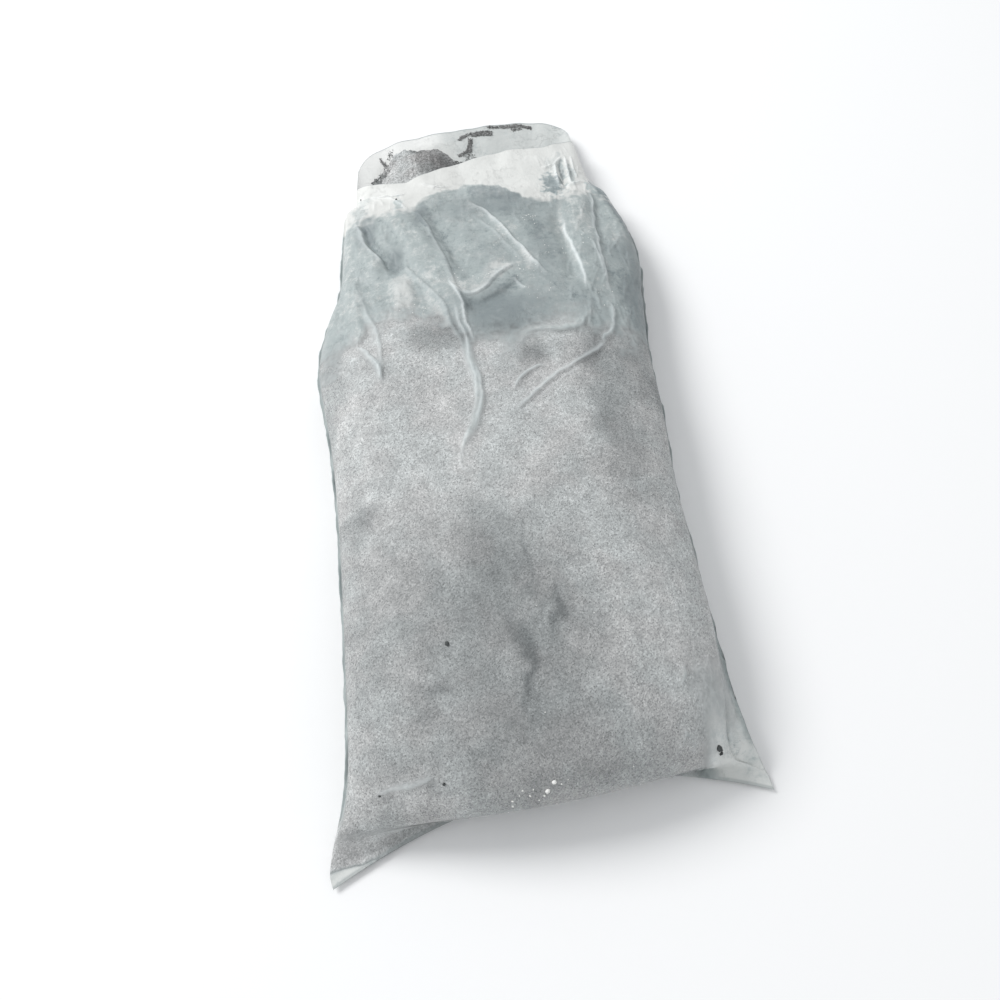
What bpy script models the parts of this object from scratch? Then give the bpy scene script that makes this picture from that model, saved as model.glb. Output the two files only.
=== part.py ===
"""Bag of stone dust: a polythene tube bag with a welded bottom, filled with grey stone dust.

Units are metres. The bag lies on its back on a level floor at z = 0, with the weld towards -Y,
the open mouth towards +Y and X across it. The origin is under the middle of the whole bag.

The film and the dust are lofted from one list of sections. A section is a flattened tube: its
left and right edges are the side folds of the lay-flat tube, its crown is the highest line of
the upper film, and its underside lies on the floor.
"""

import math

import bpy
import numpy as np

FILM = 0.001           # film thickness as modelled, a stand-in for film of about 0.12 mm
SIDE_WALL = 0.0014     # film thickness at the side folds, measured across the bag
WELD_INSET = 0.008     # how far the inside of the weld stops short of the side folds
WELD_STEP = 0.003      # how far inside the bag the two films part, past the edge of the weld
LEAST_LEVEL_SHARE = 0.3  # least share of the film thickness that is measured straight down
EAR_POWER = 2          # how sharply the weld draws in from its two ears
GAP = 0.0003           # clearance between the film and the dust along the body of the bag
END_GAP = 0.0012       # more clearance in the tight corner at the weld and in the mouth
COLUMNS = 32           # faces from the left side fold to the right one
ROWS_PER_SECTION = 2   # faces along the bag between two sections
UPPER_SQUARENESS = 2.5  # shape of the upper film across the bag: 2 is an ellipse
UNDER_SQUARENESS = 3.2  # shape of the lower film across the bag
UNDER_PRESS = 1.12     # how far the lower film is pressed flat on the floor
LIP_SQUARENESS = 3.2   # shape of the lower film's lip
MOUTH_FROM = 0.24      # y from which the lower film starts to take the shape of its square lip
MOUTH_RUN = 0.08       # length over which it does so
SLACK_FROM = 0.02      # inner height from which the upper film can fold

# Each section of the film, from the welded end to the mouth: the left fold (x, y), the right
# fold (x, y), the height of both folds, the crown (y, z), and the underside (y, z) with how much
# farther its right half reaches than its left half.
SECTIONS = (
    ((-0.1885, -0.4395), (0.1905, -0.3965), 0.004, (-0.374, 0.005), (-0.374, 0.003, 0.044)),
    ((-0.1905, -0.4280), (0.1880, -0.3850), 0.006, (-0.364, 0.007), (-0.364, 0.005, 0.042)),
    ((-0.1875, -0.4110), (0.1835, -0.3750), 0.011, (-0.384, 0.021), (-0.357, 0.001, 0.036)),
    ((-0.1815, -0.3930), (0.1785, -0.3640), 0.021, (-0.399, 0.042), (-0.347, 0.0, 0.028)),
    ((-0.1760, -0.3680), (0.1730, -0.3480), 0.031, (-0.391, 0.063), (-0.331, 0.0, 0.020)),
    ((-0.1730, -0.3350), (0.1680, -0.3200), 0.037, (-0.361, 0.081), (-0.301, 0.0, 0.015)),
    ((-0.1720, -0.2800), (0.1640, -0.2700), 0.041, (-0.297, 0.094), (-0.250, 0.0, 0.010)),
    ((-0.1720, -0.2000), (0.1595, -0.1960), 0.042, (-0.205, 0.100), (-0.180, 0.0, 0.004)),
    ((-0.1735, -0.1100), (0.1560, -0.1080), 0.042, (-0.112, 0.101), (-0.100, 0.0, 0.002)),
    ((-0.1785, -0.0300), (0.1590, -0.0300), 0.041, (-0.031, 0.098), (-0.020, 0.0, 0.0)),
    ((-0.1875, 0.0560), (0.1590, 0.0500), 0.039, (0.045, 0.092), (0.060, 0.0, 0.0)),
    ((-0.1780, 0.1180), (0.1655, 0.1200), 0.036, (0.110, 0.082), (0.130, 0.0, 0.0)),
    ((-0.1640, 0.1650), (0.1710, 0.1720), 0.033, (0.163, 0.073), (0.185, 0.0, 0.0)),
    ((-0.1590, 0.2220), (0.1675, 0.2250), 0.029, (0.215, 0.064), (0.238, 0.0, 0.0)),
    ((-0.1545, 0.2640), (0.1580, 0.2640), 0.026, (0.252, 0.058), (0.282, 0.0, 0.0)),
    ((-0.1510, 0.2880), (0.1490, 0.2920), 0.025, (0.280, 0.0545), (0.310, 0.0, 0.0)),
    ((-0.1395, 0.2990), (0.1325, 0.3160), 0.023, (0.300, 0.052), (0.340, 0.0, 0.0)),
    ((-0.1375, 0.3300), (0.1240, 0.3800), 0.020, (0.338, 0.049), (0.4346, 0.009, 0.030)),
)
WELD_SECTION = 1       # section where the two films part inside the bag
DUST_FIRST = 2.5       # place along the sections where the dust starts, just past the weld
DUST_LAST = 14.5       # place up to which the dust fills the film

# Past its last full section the dust runs down from the upper film to the floor of the mouth at
# its angle of repose, and a low tongue of it has spilled towards the mouth on the left.
REPOSE = math.radians(34.0)
DUST_EDGE_HEIGHT = 0.003
SPILL_ROWS = 8
SPILL_WIDTH = 0.74     # width of the dust at its edge, as a share of the film's
SPILL_REACH = 0.345    # y where the dust ends right of the tongue
TONGUE_X = -0.072
TONGUE_HALF_WIDTH = 0.052
TONGUE_REACH = 0.058   # how much farther the tongue runs towards the mouth
TONGUE_HEIGHT = 0.0265

# The large folds of the slack upper film: a route of (x, y) points, the half width of the fold
# and its height, which is negative for a furrow.
FOLDS = (
    (((-0.126, 0.280), (-0.088, 0.225), (-0.056, 0.140), (-0.034, 0.060), (-0.028, 0.000)),
     0.016, 0.005),
    (((-0.060, 0.262), (-0.040, 0.190), (-0.014, 0.110)), 0.014, -0.002),
    (((-0.154, 0.256), (-0.136, 0.200), (-0.120, 0.160)), 0.014, 0.006),
    (((-0.128, 0.262), (-0.108, 0.206), (-0.092, 0.170)), 0.012, -0.003),
    (((-0.157, 0.200), (-0.152, 0.130), (-0.140, 0.050)), 0.014, 0.003),
    (((0.100, 0.290), (0.110, 0.220), (0.111, 0.120)), 0.016, 0.005),
    (((0.146, 0.280), (0.157, 0.212), (0.155, 0.168)), 0.012, 0.004),
    (((0.084, 0.262), (0.084, 0.210), (0.088, 0.150)), 0.014, -0.002),
)

FILM_COLOR = (0.63, 0.68, 0.68, 1.0)
DUST_COLOR = (0.33, 0.34, 0.33, 1.0)


def section_at(place):
    """The section at each place along the bag, where place 2.5 is midway between sections 2 and 3.

    The last axis holds left x, left y, right x, right y, fold z, crown y, crown z, under y,
    under z and under lean. The curve through the sections is a Catmull-Rom spline.
    """
    keys = np.array([[*left, *right, fold, *crown, *under]
                     for left, right, fold, crown, under in SECTIONS])
    padded = np.vstack([2 * keys[0] - keys[1], keys, 2 * keys[-1] - keys[-2]])
    start = np.clip(place.astype(int), 0, len(keys) - 2)
    t = (place - start)[..., None]
    p0, p1, p2, p3 = (padded[start + step] for step in range(4))
    section = 0.5 * (2 * p1 + (p2 - p0) * t + (2 * p0 - 5 * p1 + 4 * p2 - p3) * t ** 2
                     + (3 * p1 - p0 - 3 * p2 + p3) * t ** 3)
    section[..., 8] = np.maximum(section[..., 8], 0.0)
    return section


def inner_section_at(place, wall, side_wall):
    """The section moved inwards, by wall at the crown and underside and by side_wall at the folds."""
    inner = section_at(place)
    ahead, behind = section_at(place + 0.05), section_at(place - 0.05)
    left_x, left_y, right_x, right_y, _, crown_y, _, under_y = np.moveaxis(inner, -1, 0)[:8]
    share = 1 - 2 * side_wall / (right_x - left_x)
    middle_y = (left_y + right_y) / 2
    middle_y = middle_y + ((crown_y + under_y) / 2 - middle_y) * (1 - share ** EAR_POWER)
    lean = share * (right_y - left_y) / 2
    inner[..., 0] += side_wall
    inner[..., 1] = middle_y - lean
    inner[..., 2] -= side_wall
    inner[..., 3] = middle_y + lean
    for y_column, z_column, inward in ((5, 6, -1.0), (7, 8, 1.0)):
        along_y = ahead[..., y_column] - behind[..., y_column]
        along_z = ahead[..., z_column] - behind[..., z_column]
        length = np.hypot(along_y, along_z)
        inner[..., y_column] -= inward * wall * along_z / length
        # a crown that leans out past the weld still has its wall below it at the ears
        inner[..., z_column] += inward * wall * np.maximum(along_y / length, LEAST_LEVEL_SHARE)
    return inner


def dust_section_at(place):
    """The section of the dust: the inside of the film less a clearance that grows at both ends."""
    near_weld = np.clip(DUST_FIRST + 1 - place, 0.0, 1.0)
    in_mouth = np.clip(place - DUST_LAST + 0.5, 0.0, 1.0)
    clearance = GAP + END_GAP * (near_weld + in_mouth)
    return inner_section_at(place, FILM + clearance, SIDE_WALL + clearance)


def fold_height(place, u):
    """Height that the large folds add to the upper film: height * exp(-(distance / half width)^2).

    It is worked out on the outside of the film, so the inside and the dust follow it exactly.
    """
    section = section_at(place)
    x, y, _ = np.moveaxis(sheets(section, u)[0], -1, 0)
    total = np.zeros_like(x)
    for route, half_width, height in FOLDS:
        nearest = np.full_like(x, np.inf)
        for (ax, ay), (bx, by) in zip(route, route[1:]):
            length_squared = (bx - ax) ** 2 + (by - ay) ** 2
            t = ((x - ax) * (bx - ax) + (y - ay) * (by - ay)) / length_squared
            t = np.clip(t, 0.0, 1.0)
            nearest = np.minimum(nearest, np.hypot(x - ax - t * (bx - ax), y - ay - t * (by - ay)))
        total += height * np.exp(-(nearest / half_width) ** 2)
    inner_height = section[..., 6] - section[..., 8]
    return total * np.clip((inner_height - SLACK_FROM) / SLACK_FROM, 0.0, 1.0) * (1 - u ** 4)


def sheets(section, u):
    """Points of the upper and of the lower sheet, for u from -1 at the left fold to 1 at the right.

    The sheets part by arch(u) = (1 - |u|^n)^(1/n) and meet at the two folds. Along the bag the
    crown stands off from the folds by 1 - |u|^EAR_POWER, and near the mouth the underside does so
    by its own arch.
    """
    upper_arch = (1 - abs(u) ** UPPER_SQUARENESS) ** (1 / UPPER_SQUARENESS)
    under_arch = (1 - abs(u) ** UNDER_SQUARENESS) ** (1 / UNDER_SQUARENESS)
    under_arch = np.minimum(1.0, UNDER_PRESS * under_arch)
    (left_x, left_y, right_x, right_y, fold_z,
     crown_y, crown_z, under_y, under_z, under_lean) = np.moveaxis(section, -1, 0)
    x = (left_x + right_x) / 2 + u * (right_x - left_x) / 2
    middle_y = (left_y + right_y) / 2
    fold_y = middle_y + u * (right_y - left_y) / 2
    stand_off = 1 - abs(u) ** EAR_POWER
    upper_y = fold_y + (crown_y - middle_y) * stand_off
    at_mouth = np.clip((middle_y - MOUTH_FROM) / MOUTH_RUN, 0.0, 1.0)
    lip_arch = (1 - abs(u) ** LIP_SQUARENESS) ** (1 / LIP_SQUARENESS)
    stand_off = stand_off + (lip_arch - stand_off) * at_mouth
    level_y = fold_y + (under_lean - right_y + left_y) * u / 2 * stand_off
    lower_y = level_y + (under_y - middle_y) * stand_off
    upper_z = fold_z + (crown_z - fold_z) * upper_arch
    lower_z = fold_z + (under_z - fold_z) * under_arch
    return np.stack([x, upper_y, upper_z], axis=-1), np.stack([x, lower_y, lower_z], axis=-1)


def ring_loop(upper, under):
    """One ring of points around the tube for each row, from the left fold over the crown."""
    return np.concatenate([upper, under[:, -2:0:-1]], axis=1)


def spill(u, last_upper):
    """Rows of dust past its last full section, down to its edge in the mouth.

    The height falls at the angle of repose, z = z0 - tan(repose) (y - y0), or is that of the
    tongue, a mound TONGUE_HEIGHT (1 - r^2) with r = 1 on its rim. It stays between the sheets.
    """
    trial = np.linspace(DUST_LAST, len(SECTIONS) - 1, 160)[:, None]
    edge = sheets(dust_section_at(trial), SPILL_WIDTH * u[None, :])[1]
    across = np.clip(1 - ((edge[..., 0] - TONGUE_X) / TONGUE_HALF_WIDTH) ** 2, 0.0, 1.0)
    short = edge[..., 1] < SPILL_REACH + TONGUE_REACH * across
    end = trial[short.sum(axis=0) - 1, 0]
    step = np.linspace(0.0, 1.0, SPILL_ROWS + 1)[1:, None]
    place = DUST_LAST + step * (end - DUST_LAST)
    share = 1 - (1 - SPILL_WIDTH) * step ** 0.7
    upper, under = sheets(dust_section_at(place), share * u)
    upper[..., 2] += fold_height(place, share * u)
    down = last_upper[:, 2] - math.tan(REPOSE) * (under[..., 1] - last_upper[:, 1])
    across = np.clip(1 - ((upper[..., 0] - TONGUE_X) / TONGUE_HALF_WIDTH) ** 2, 0.0, 1.0)
    mound = TONGUE_HEIGHT * across * np.sqrt(1 - step ** 8)
    lowest = under[..., 2] + DUST_EDGE_HEIGHT * (1 - u ** 8)
    upper[..., 1] += step * (under[..., 1] - upper[..., 1])
    upper[..., 2] = np.clip(np.maximum(down, mound), lowest, np.maximum(upper[..., 2], lowest))
    upper[:, [0, -1]] = under[:, [0, -1]]
    return upper, under


def grid_faces(first, ring, rows, flip=False):
    """Quads between the rings of a tube whose points start at index first."""
    faces = []
    for row in range(rows - 1):
        for i in range(ring):
            a = first + row * ring + i
            b = first + row * ring + (i + 1) % ring
            quad = (a, b, b + ring, a + ring)
            faces.append((quad[0], quad[3], quad[2], quad[1]) if flip else quad)
    return faces


def end_faces(first, ring, flip=False):
    """Faces that close one ring with a strip from its upper points to its lower points."""
    half = ring // 2
    faces = [(first, first + ring - 1, first + 1)]
    for i in range(1, half - 1):
        faces.append((first + i, first + ring - i, first + ring - i - 1, first + i + 1))
    faces.append((first + half - 1, first + half + 1, first + half))
    return [face[::-1] for face in faces] if flip else faces


def add_object(name, points, faces, color, roughness):
    """A mesh object with its own Principled material."""
    mesh = bpy.data.meshes.new(name)
    mesh.from_pydata(points.tolist(), [], faces)
    mesh.validate()
    mesh.update()
    material = bpy.data.materials.new(name)
    material.use_nodes = True
    shader = material.node_tree.nodes["Principled BSDF"]
    shader.inputs["Base Color"].default_value = color
    shader.inputs["Roughness"].default_value = roughness
    mesh.materials.append(material)
    piece = bpy.data.objects.new(name, mesh)
    bpy.context.scene.collection.objects.link(piece)
    return piece


def make_film():
    """The tube bag: outside, inside, the rim of the mouth and the weld, as one closed body."""
    place = np.linspace(0, len(SECTIONS) - 1, (len(SECTIONS) - 1) * ROWS_PER_SECTION + 1)[:, None]
    upper, under = sheets(section_at(place), ACROSS)
    upper[..., 2] += fold_height(place, ACROSS)
    outside = ring_loop(upper, under)
    place = place[WELD_SECTION * ROWS_PER_SECTION:]
    side = np.clip(WELD_INSET - (WELD_INSET - SIDE_WALL) * (place - WELD_SECTION), SIDE_WALL, None)
    upper, under = sheets(inner_section_at(place, FILM, side), ACROSS)
    upper[..., 2] += fold_height(place, ACROSS)
    # the two films are one along the weld, so the first ring of the inside is a single line
    upper[0] = (upper[0] + under[0]) / 2 + (0.0, WELD_STEP, 0.0)
    under[0] = upper[0]
    inside = ring_loop(upper, under)
    ring = outside.shape[1]
    points = np.concatenate([outside.reshape(-1, 3), inside.reshape(-1, 3)])
    first_inside = len(outside) * ring
    faces = grid_faces(0, ring, len(outside))
    faces += end_faces(0, ring)
    faces += grid_faces(first_inside, ring, len(inside), flip=True)
    rim_out = (len(outside) - 1) * ring
    rim_in = first_inside + (len(inside) - 1) * ring
    for i in range(ring):
        j = (i + 1) % ring
        faces.append((rim_out + i, rim_out + j, rim_in + j, rim_in + i))
    # the lower half of the weld line uses the points of its upper half
    shared = {first_inside + ring - i: first_inside + i for i in range(1, ring // 2)}
    faces = [tuple(shared.get(index, index) for index in face) for face in faces]
    used = sorted({index for face in faces for index in face})
    order = {index: place for place, index in enumerate(used)}
    faces = [tuple(order[index] for index in face) for face in faces]
    return add_object("polythene_film", points[used], faces, FILM_COLOR, 0.25)


def make_dust():
    """The stone dust: it fills the film and runs out low into the mouth."""
    rows = round((DUST_LAST - DUST_FIRST) * ROWS_PER_SECTION) + 1
    place = np.linspace(DUST_FIRST, DUST_LAST, rows)[:, None]
    upper, under = sheets(dust_section_at(place), ACROSS)
    upper[..., 2] += fold_height(place, ACROSS)
    spill_upper, spill_under = spill(ACROSS, upper[-1])
    points = ring_loop(np.concatenate([upper, spill_upper]), np.concatenate([under, spill_under]))
    ring = points.shape[1]
    faces = grid_faces(0, ring, len(points))
    faces += end_faces(0, ring)
    faces += end_faces((len(points) - 1) * ring, ring, flip=True)
    return add_object("stone_dust", points.reshape(-1, 3), faces, DUST_COLOR, 0.95)


# u across the bag, closer together towards the folds
ACROSS = -np.cos(np.linspace(0.0, math.pi, COLUMNS + 1))

for old in list(bpy.data.objects):
    bpy.data.objects.remove(old)
make_film()
make_dust()
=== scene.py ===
"""Bag of stone dust: a milky polythene tube bag, filled with grey dust and lying open on its back."""
import math

import bpy
import numpy as np
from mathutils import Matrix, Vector


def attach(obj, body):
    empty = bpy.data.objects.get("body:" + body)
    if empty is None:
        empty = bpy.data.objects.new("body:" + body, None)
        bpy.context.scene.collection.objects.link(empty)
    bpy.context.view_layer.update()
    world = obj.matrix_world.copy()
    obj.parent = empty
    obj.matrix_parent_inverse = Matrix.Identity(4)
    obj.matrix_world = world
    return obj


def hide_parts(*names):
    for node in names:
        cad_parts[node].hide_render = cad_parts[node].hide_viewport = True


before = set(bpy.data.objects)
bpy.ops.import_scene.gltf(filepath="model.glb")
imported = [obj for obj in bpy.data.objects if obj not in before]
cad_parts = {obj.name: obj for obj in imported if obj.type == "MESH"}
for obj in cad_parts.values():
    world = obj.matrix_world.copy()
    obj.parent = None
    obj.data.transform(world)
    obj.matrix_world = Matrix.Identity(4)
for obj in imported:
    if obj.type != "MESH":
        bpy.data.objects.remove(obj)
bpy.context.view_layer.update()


# ---- The bag ----------------------------------------------------------------------------------
# A lay-flat tube of milky polythene film about 0.12 mm thick, welded across the bottom and left
# open at the top. It lies on its back: the dust holds it tight below, and above the dust the
# spare film falls into rolls, pockets and creases.

# From the weld to the mouth: left fold (x, y), right fold (x, y), height of both folds, crown
# (y, z), and underside (y, z) with how much farther its right half reaches than its left half.
SECTIONS = np.array((
    (-0.1885, -0.4395, 0.1905, -0.3965, 0.004, -0.374, 0.005, -0.374, 0.003, 0.044),
    (-0.1905, -0.4280, 0.1880, -0.3850, 0.006, -0.364, 0.007, -0.364, 0.005, 0.042),
    (-0.1875, -0.4110, 0.1835, -0.3750, 0.011, -0.384, 0.021, -0.357, 0.001, 0.036),
    (-0.1815, -0.3930, 0.1785, -0.3640, 0.021, -0.399, 0.042, -0.347, 0.0, 0.028),
    (-0.1760, -0.3680, 0.1730, -0.3480, 0.031, -0.391, 0.063, -0.331, 0.0, 0.020),
    (-0.1730, -0.3350, 0.1680, -0.3200, 0.037, -0.361, 0.081, -0.301, 0.0, 0.015),
    (-0.1720, -0.2800, 0.1640, -0.2700, 0.041, -0.297, 0.094, -0.250, 0.0, 0.010),
    (-0.1720, -0.2000, 0.1595, -0.1960, 0.042, -0.205, 0.100, -0.180, 0.0, 0.004),
    (-0.1735, -0.1100, 0.1560, -0.1080, 0.042, -0.112, 0.101, -0.100, 0.0, 0.002),
    (-0.1785, -0.0300, 0.1590, -0.0300, 0.041, -0.031, 0.098, -0.020, 0.0, 0.0),
    (-0.1875, 0.0560, 0.1590, 0.0500, 0.039, 0.045, 0.092, 0.060, 0.0, 0.0),
    (-0.1780, 0.1180, 0.1655, 0.1200, 0.036, 0.110, 0.082, 0.130, 0.0, 0.0),
    (-0.1640, 0.1650, 0.1710, 0.1720, 0.033, 0.163, 0.073, 0.185, 0.0, 0.0),
    (-0.1590, 0.2220, 0.1675, 0.2250, 0.029, 0.215, 0.064, 0.238, 0.0, 0.0),
    (-0.1545, 0.2640, 0.1580, 0.2640, 0.026, 0.252, 0.058, 0.282, 0.0, 0.0),
    (-0.1510, 0.2880, 0.1490, 0.2920, 0.025, 0.280, 0.0545, 0.310, 0.0, 0.0),
    (-0.1395, 0.2990, 0.1325, 0.3160, 0.023, 0.300, 0.052, 0.340, 0.0, 0.0),
    (-0.1375, 0.3300, 0.1240, 0.3800, 0.020, 0.338, 0.049, 0.4346, 0.009, 0.030),
))
LAST_PLACE = len(SECTIONS) - 1
EAR_POWER = 2            # how sharply the weld draws in from its two ears
UPPER_SQUARENESS = 2.5   # shape of the upper film across the bag: 2 is an ellipse
UNDER_SQUARENESS = 3.2
UNDER_PRESS = 1.12       # how far the lower film is pressed flat on the floor
LIP_SQUARENESS = 3.2     # shape of the lower film's lip
MOUTH_FROM, MOUTH_RUN = 0.24, 0.08
FLOOR_GAP = 0.0003       # the lower film's height over the floor


def section_at(place):
    """The section at each place, where 2.5 is midway between sections 2 and 3: a Catmull-Rom spline."""
    padded = np.vstack([2 * SECTIONS[0] - SECTIONS[1], SECTIONS, 2 * SECTIONS[-1] - SECTIONS[-2]])
    start = np.clip(place.astype(int), 0, LAST_PLACE - 1)
    t = (place - start)[..., None]
    p0, p1, p2, p3 = (padded[start + step] for step in range(4))
    section = 0.5 * (2 * p1 + (p2 - p0) * t + (2 * p0 - 5 * p1 + 4 * p2 - p3) * t ** 2
                     + (3 * p1 - p0 - 3 * p2 + p3) * t ** 3)
    section[..., 8] = np.maximum(section[..., 8], 0.0)
    return section


def sheets(place, u, fin=0.0):
    """Upper and lower sheet for u from -1 at the left fold to 1 at the right one.

    The sheets part by arch(u) = (1 - |u|^n)^(1/n). Where fin is over 0 they already meet at
    |u| = 1 / (1 + fin) and run on flat, as the spare film does beside the dust.
    """
    (left_x, left_y, right_x, right_y, fold_z,
     crown_y, crown_z, under_y, under_z, under_lean) = np.moveaxis(section_at(place), -1, 0)
    w = np.minimum(abs(u) * (1 + fin), 1.0)
    upper_arch = (1 - w ** UPPER_SQUARENESS) ** (1 / UPPER_SQUARENESS)
    under_arch = np.minimum(1.0, UNDER_PRESS * (1 - w ** UNDER_SQUARENESS) ** (1 / UNDER_SQUARENESS))
    x = (left_x + right_x) / 2 + u * (right_x - left_x) / 2
    middle_y = (left_y + right_y) / 2
    fold_y = middle_y + u * (right_y - left_y) / 2
    stand_off = 1 - abs(u) ** EAR_POWER
    upper_y = fold_y + (crown_y - middle_y) * stand_off
    at_mouth = np.clip((middle_y - MOUTH_FROM) / MOUTH_RUN, 0.0, 1.0)
    lip_arch = (1 - abs(u) ** LIP_SQUARENESS) ** (1 / LIP_SQUARENESS)
    stand_off = stand_off + (lip_arch - stand_off) * at_mouth
    level_y = fold_y + (under_lean - right_y + left_y) * u / 2 * stand_off
    lower_y = level_y + (under_y - middle_y) * stand_off
    upper_z = fold_z + (crown_z - fold_z) * upper_arch
    lower_z = fold_z + (under_z - fold_z) * under_arch
    return np.stack([x, upper_y, upper_z], -1), np.stack([x, lower_y, lower_z], -1)


def ring_loop(upper, under):
    """One closed ring of points for each row, from the left fold over the crown and back below."""
    return np.concatenate([upper, under[:, -2:0:-1]], axis=1)


def outward(rings):
    """Unit normals of a tube of rings: the step across times the step along, pointing out."""
    across = np.roll(rings, -1, axis=1) - np.roll(rings, 1, axis=1)
    along = np.gradient(rings, axis=0)
    normal = np.cross(across, along)
    return normal / np.maximum(np.linalg.norm(normal, axis=-1, keepdims=True), 1e-12)


def spread(count):
    """Values from -1 to 1, closer together towards both ends: half even steps, half cosine steps."""
    even = np.linspace(-1.0, 1.0, count + 1)
    return 0.5 * even - 0.5 * np.cos((even + 1) * math.pi / 2)


def cloud(x, y, size, seed):
    """Gradient noise from about -1 to 1 with features of that size: random slopes on a square
    lattice, blended by t^3 (6 t^2 - 15 t + 10)."""
    angle = np.random.default_rng(seed).uniform(0, 2 * math.pi, (128, 128))
    gx, gy = x / size + 41.37, y / size + 57.83
    column, row = np.floor(gx).astype(int), np.floor(gy).astype(int)
    tx, ty = gx - column, gy - row

    def slope(i, j):
        turn = angle[(column + i) % 128, (row + j) % 128]
        return np.cos(turn) * (tx - i) + np.sin(turn) * (ty - j)

    sx, sy = (t ** 3 * (6 * t ** 2 - 15 * t + 10) for t in (tx, ty))
    near = slope(0, 0) + sx * (slope(1, 0) - slope(0, 0))
    far = slope(0, 1) + sx * (slope(1, 1) - slope(0, 1))
    return 1.5 * (near + sy * (far - near))


def ramp(value, low, high):
    """Smooth step from 0 at low to 1 at high."""
    t = np.clip((value - low) / (high - low), 0.0, 1.0)
    return t * t * (3 - 2 * t)


def smooth_route(route, steps=6):
    """A Catmull-Rom curve through the points of a route."""
    keys = np.array(route, float)
    padded = np.vstack([2 * keys[0] - keys[1], keys, 2 * keys[-1] - keys[-2]])
    t = np.linspace(0, 1, steps, endpoint=False)[:, None]
    spans = [0.5 * (2 * b + (c - a) * t + (2 * a - 5 * b + 4 * c - d) * t ** 2
                    + (3 * b - a - 3 * c + d) * t ** 3)
             for a, b, c, d in zip(padded, padded[1:], padded[2:], padded[3:])]
    return np.vstack(spans + [keys[-1:]])


def beside(x, y, route):
    """Signed distance from a route, over 0 on the left of one who walks along it, and the share of
    its length walked at the nearest point."""
    line = smooth_route(route)
    lengths = np.linalg.norm(np.diff(line, axis=0), axis=1)
    walked = np.concatenate([[0.0], np.cumsum(lengths)]) / lengths.sum()
    nearest = np.full(x.shape, np.inf)
    side = np.ones(x.shape)
    share = np.zeros(x.shape)
    for k, ((ax, ay), (bx, by)) in enumerate(zip(line, line[1:])):
        dx, dy = bx - ax, by - ay
        t = np.clip(((x - ax) * dx + (y - ay) * dy) / (dx * dx + dy * dy), 0.0, 1.0)
        ox, oy = x - ax - t * dx, y - ay - t * dy
        distance = np.hypot(ox, oy)
        closer = distance < nearest
        nearest = np.where(closer, distance, nearest)
        side = np.where(closer, np.sign(dx * oy - dy * ox), side)
        share = np.where(closer, walked[k] + t * (walked[k + 1] - walked[k]), share)
    return side * nearest, share


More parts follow.
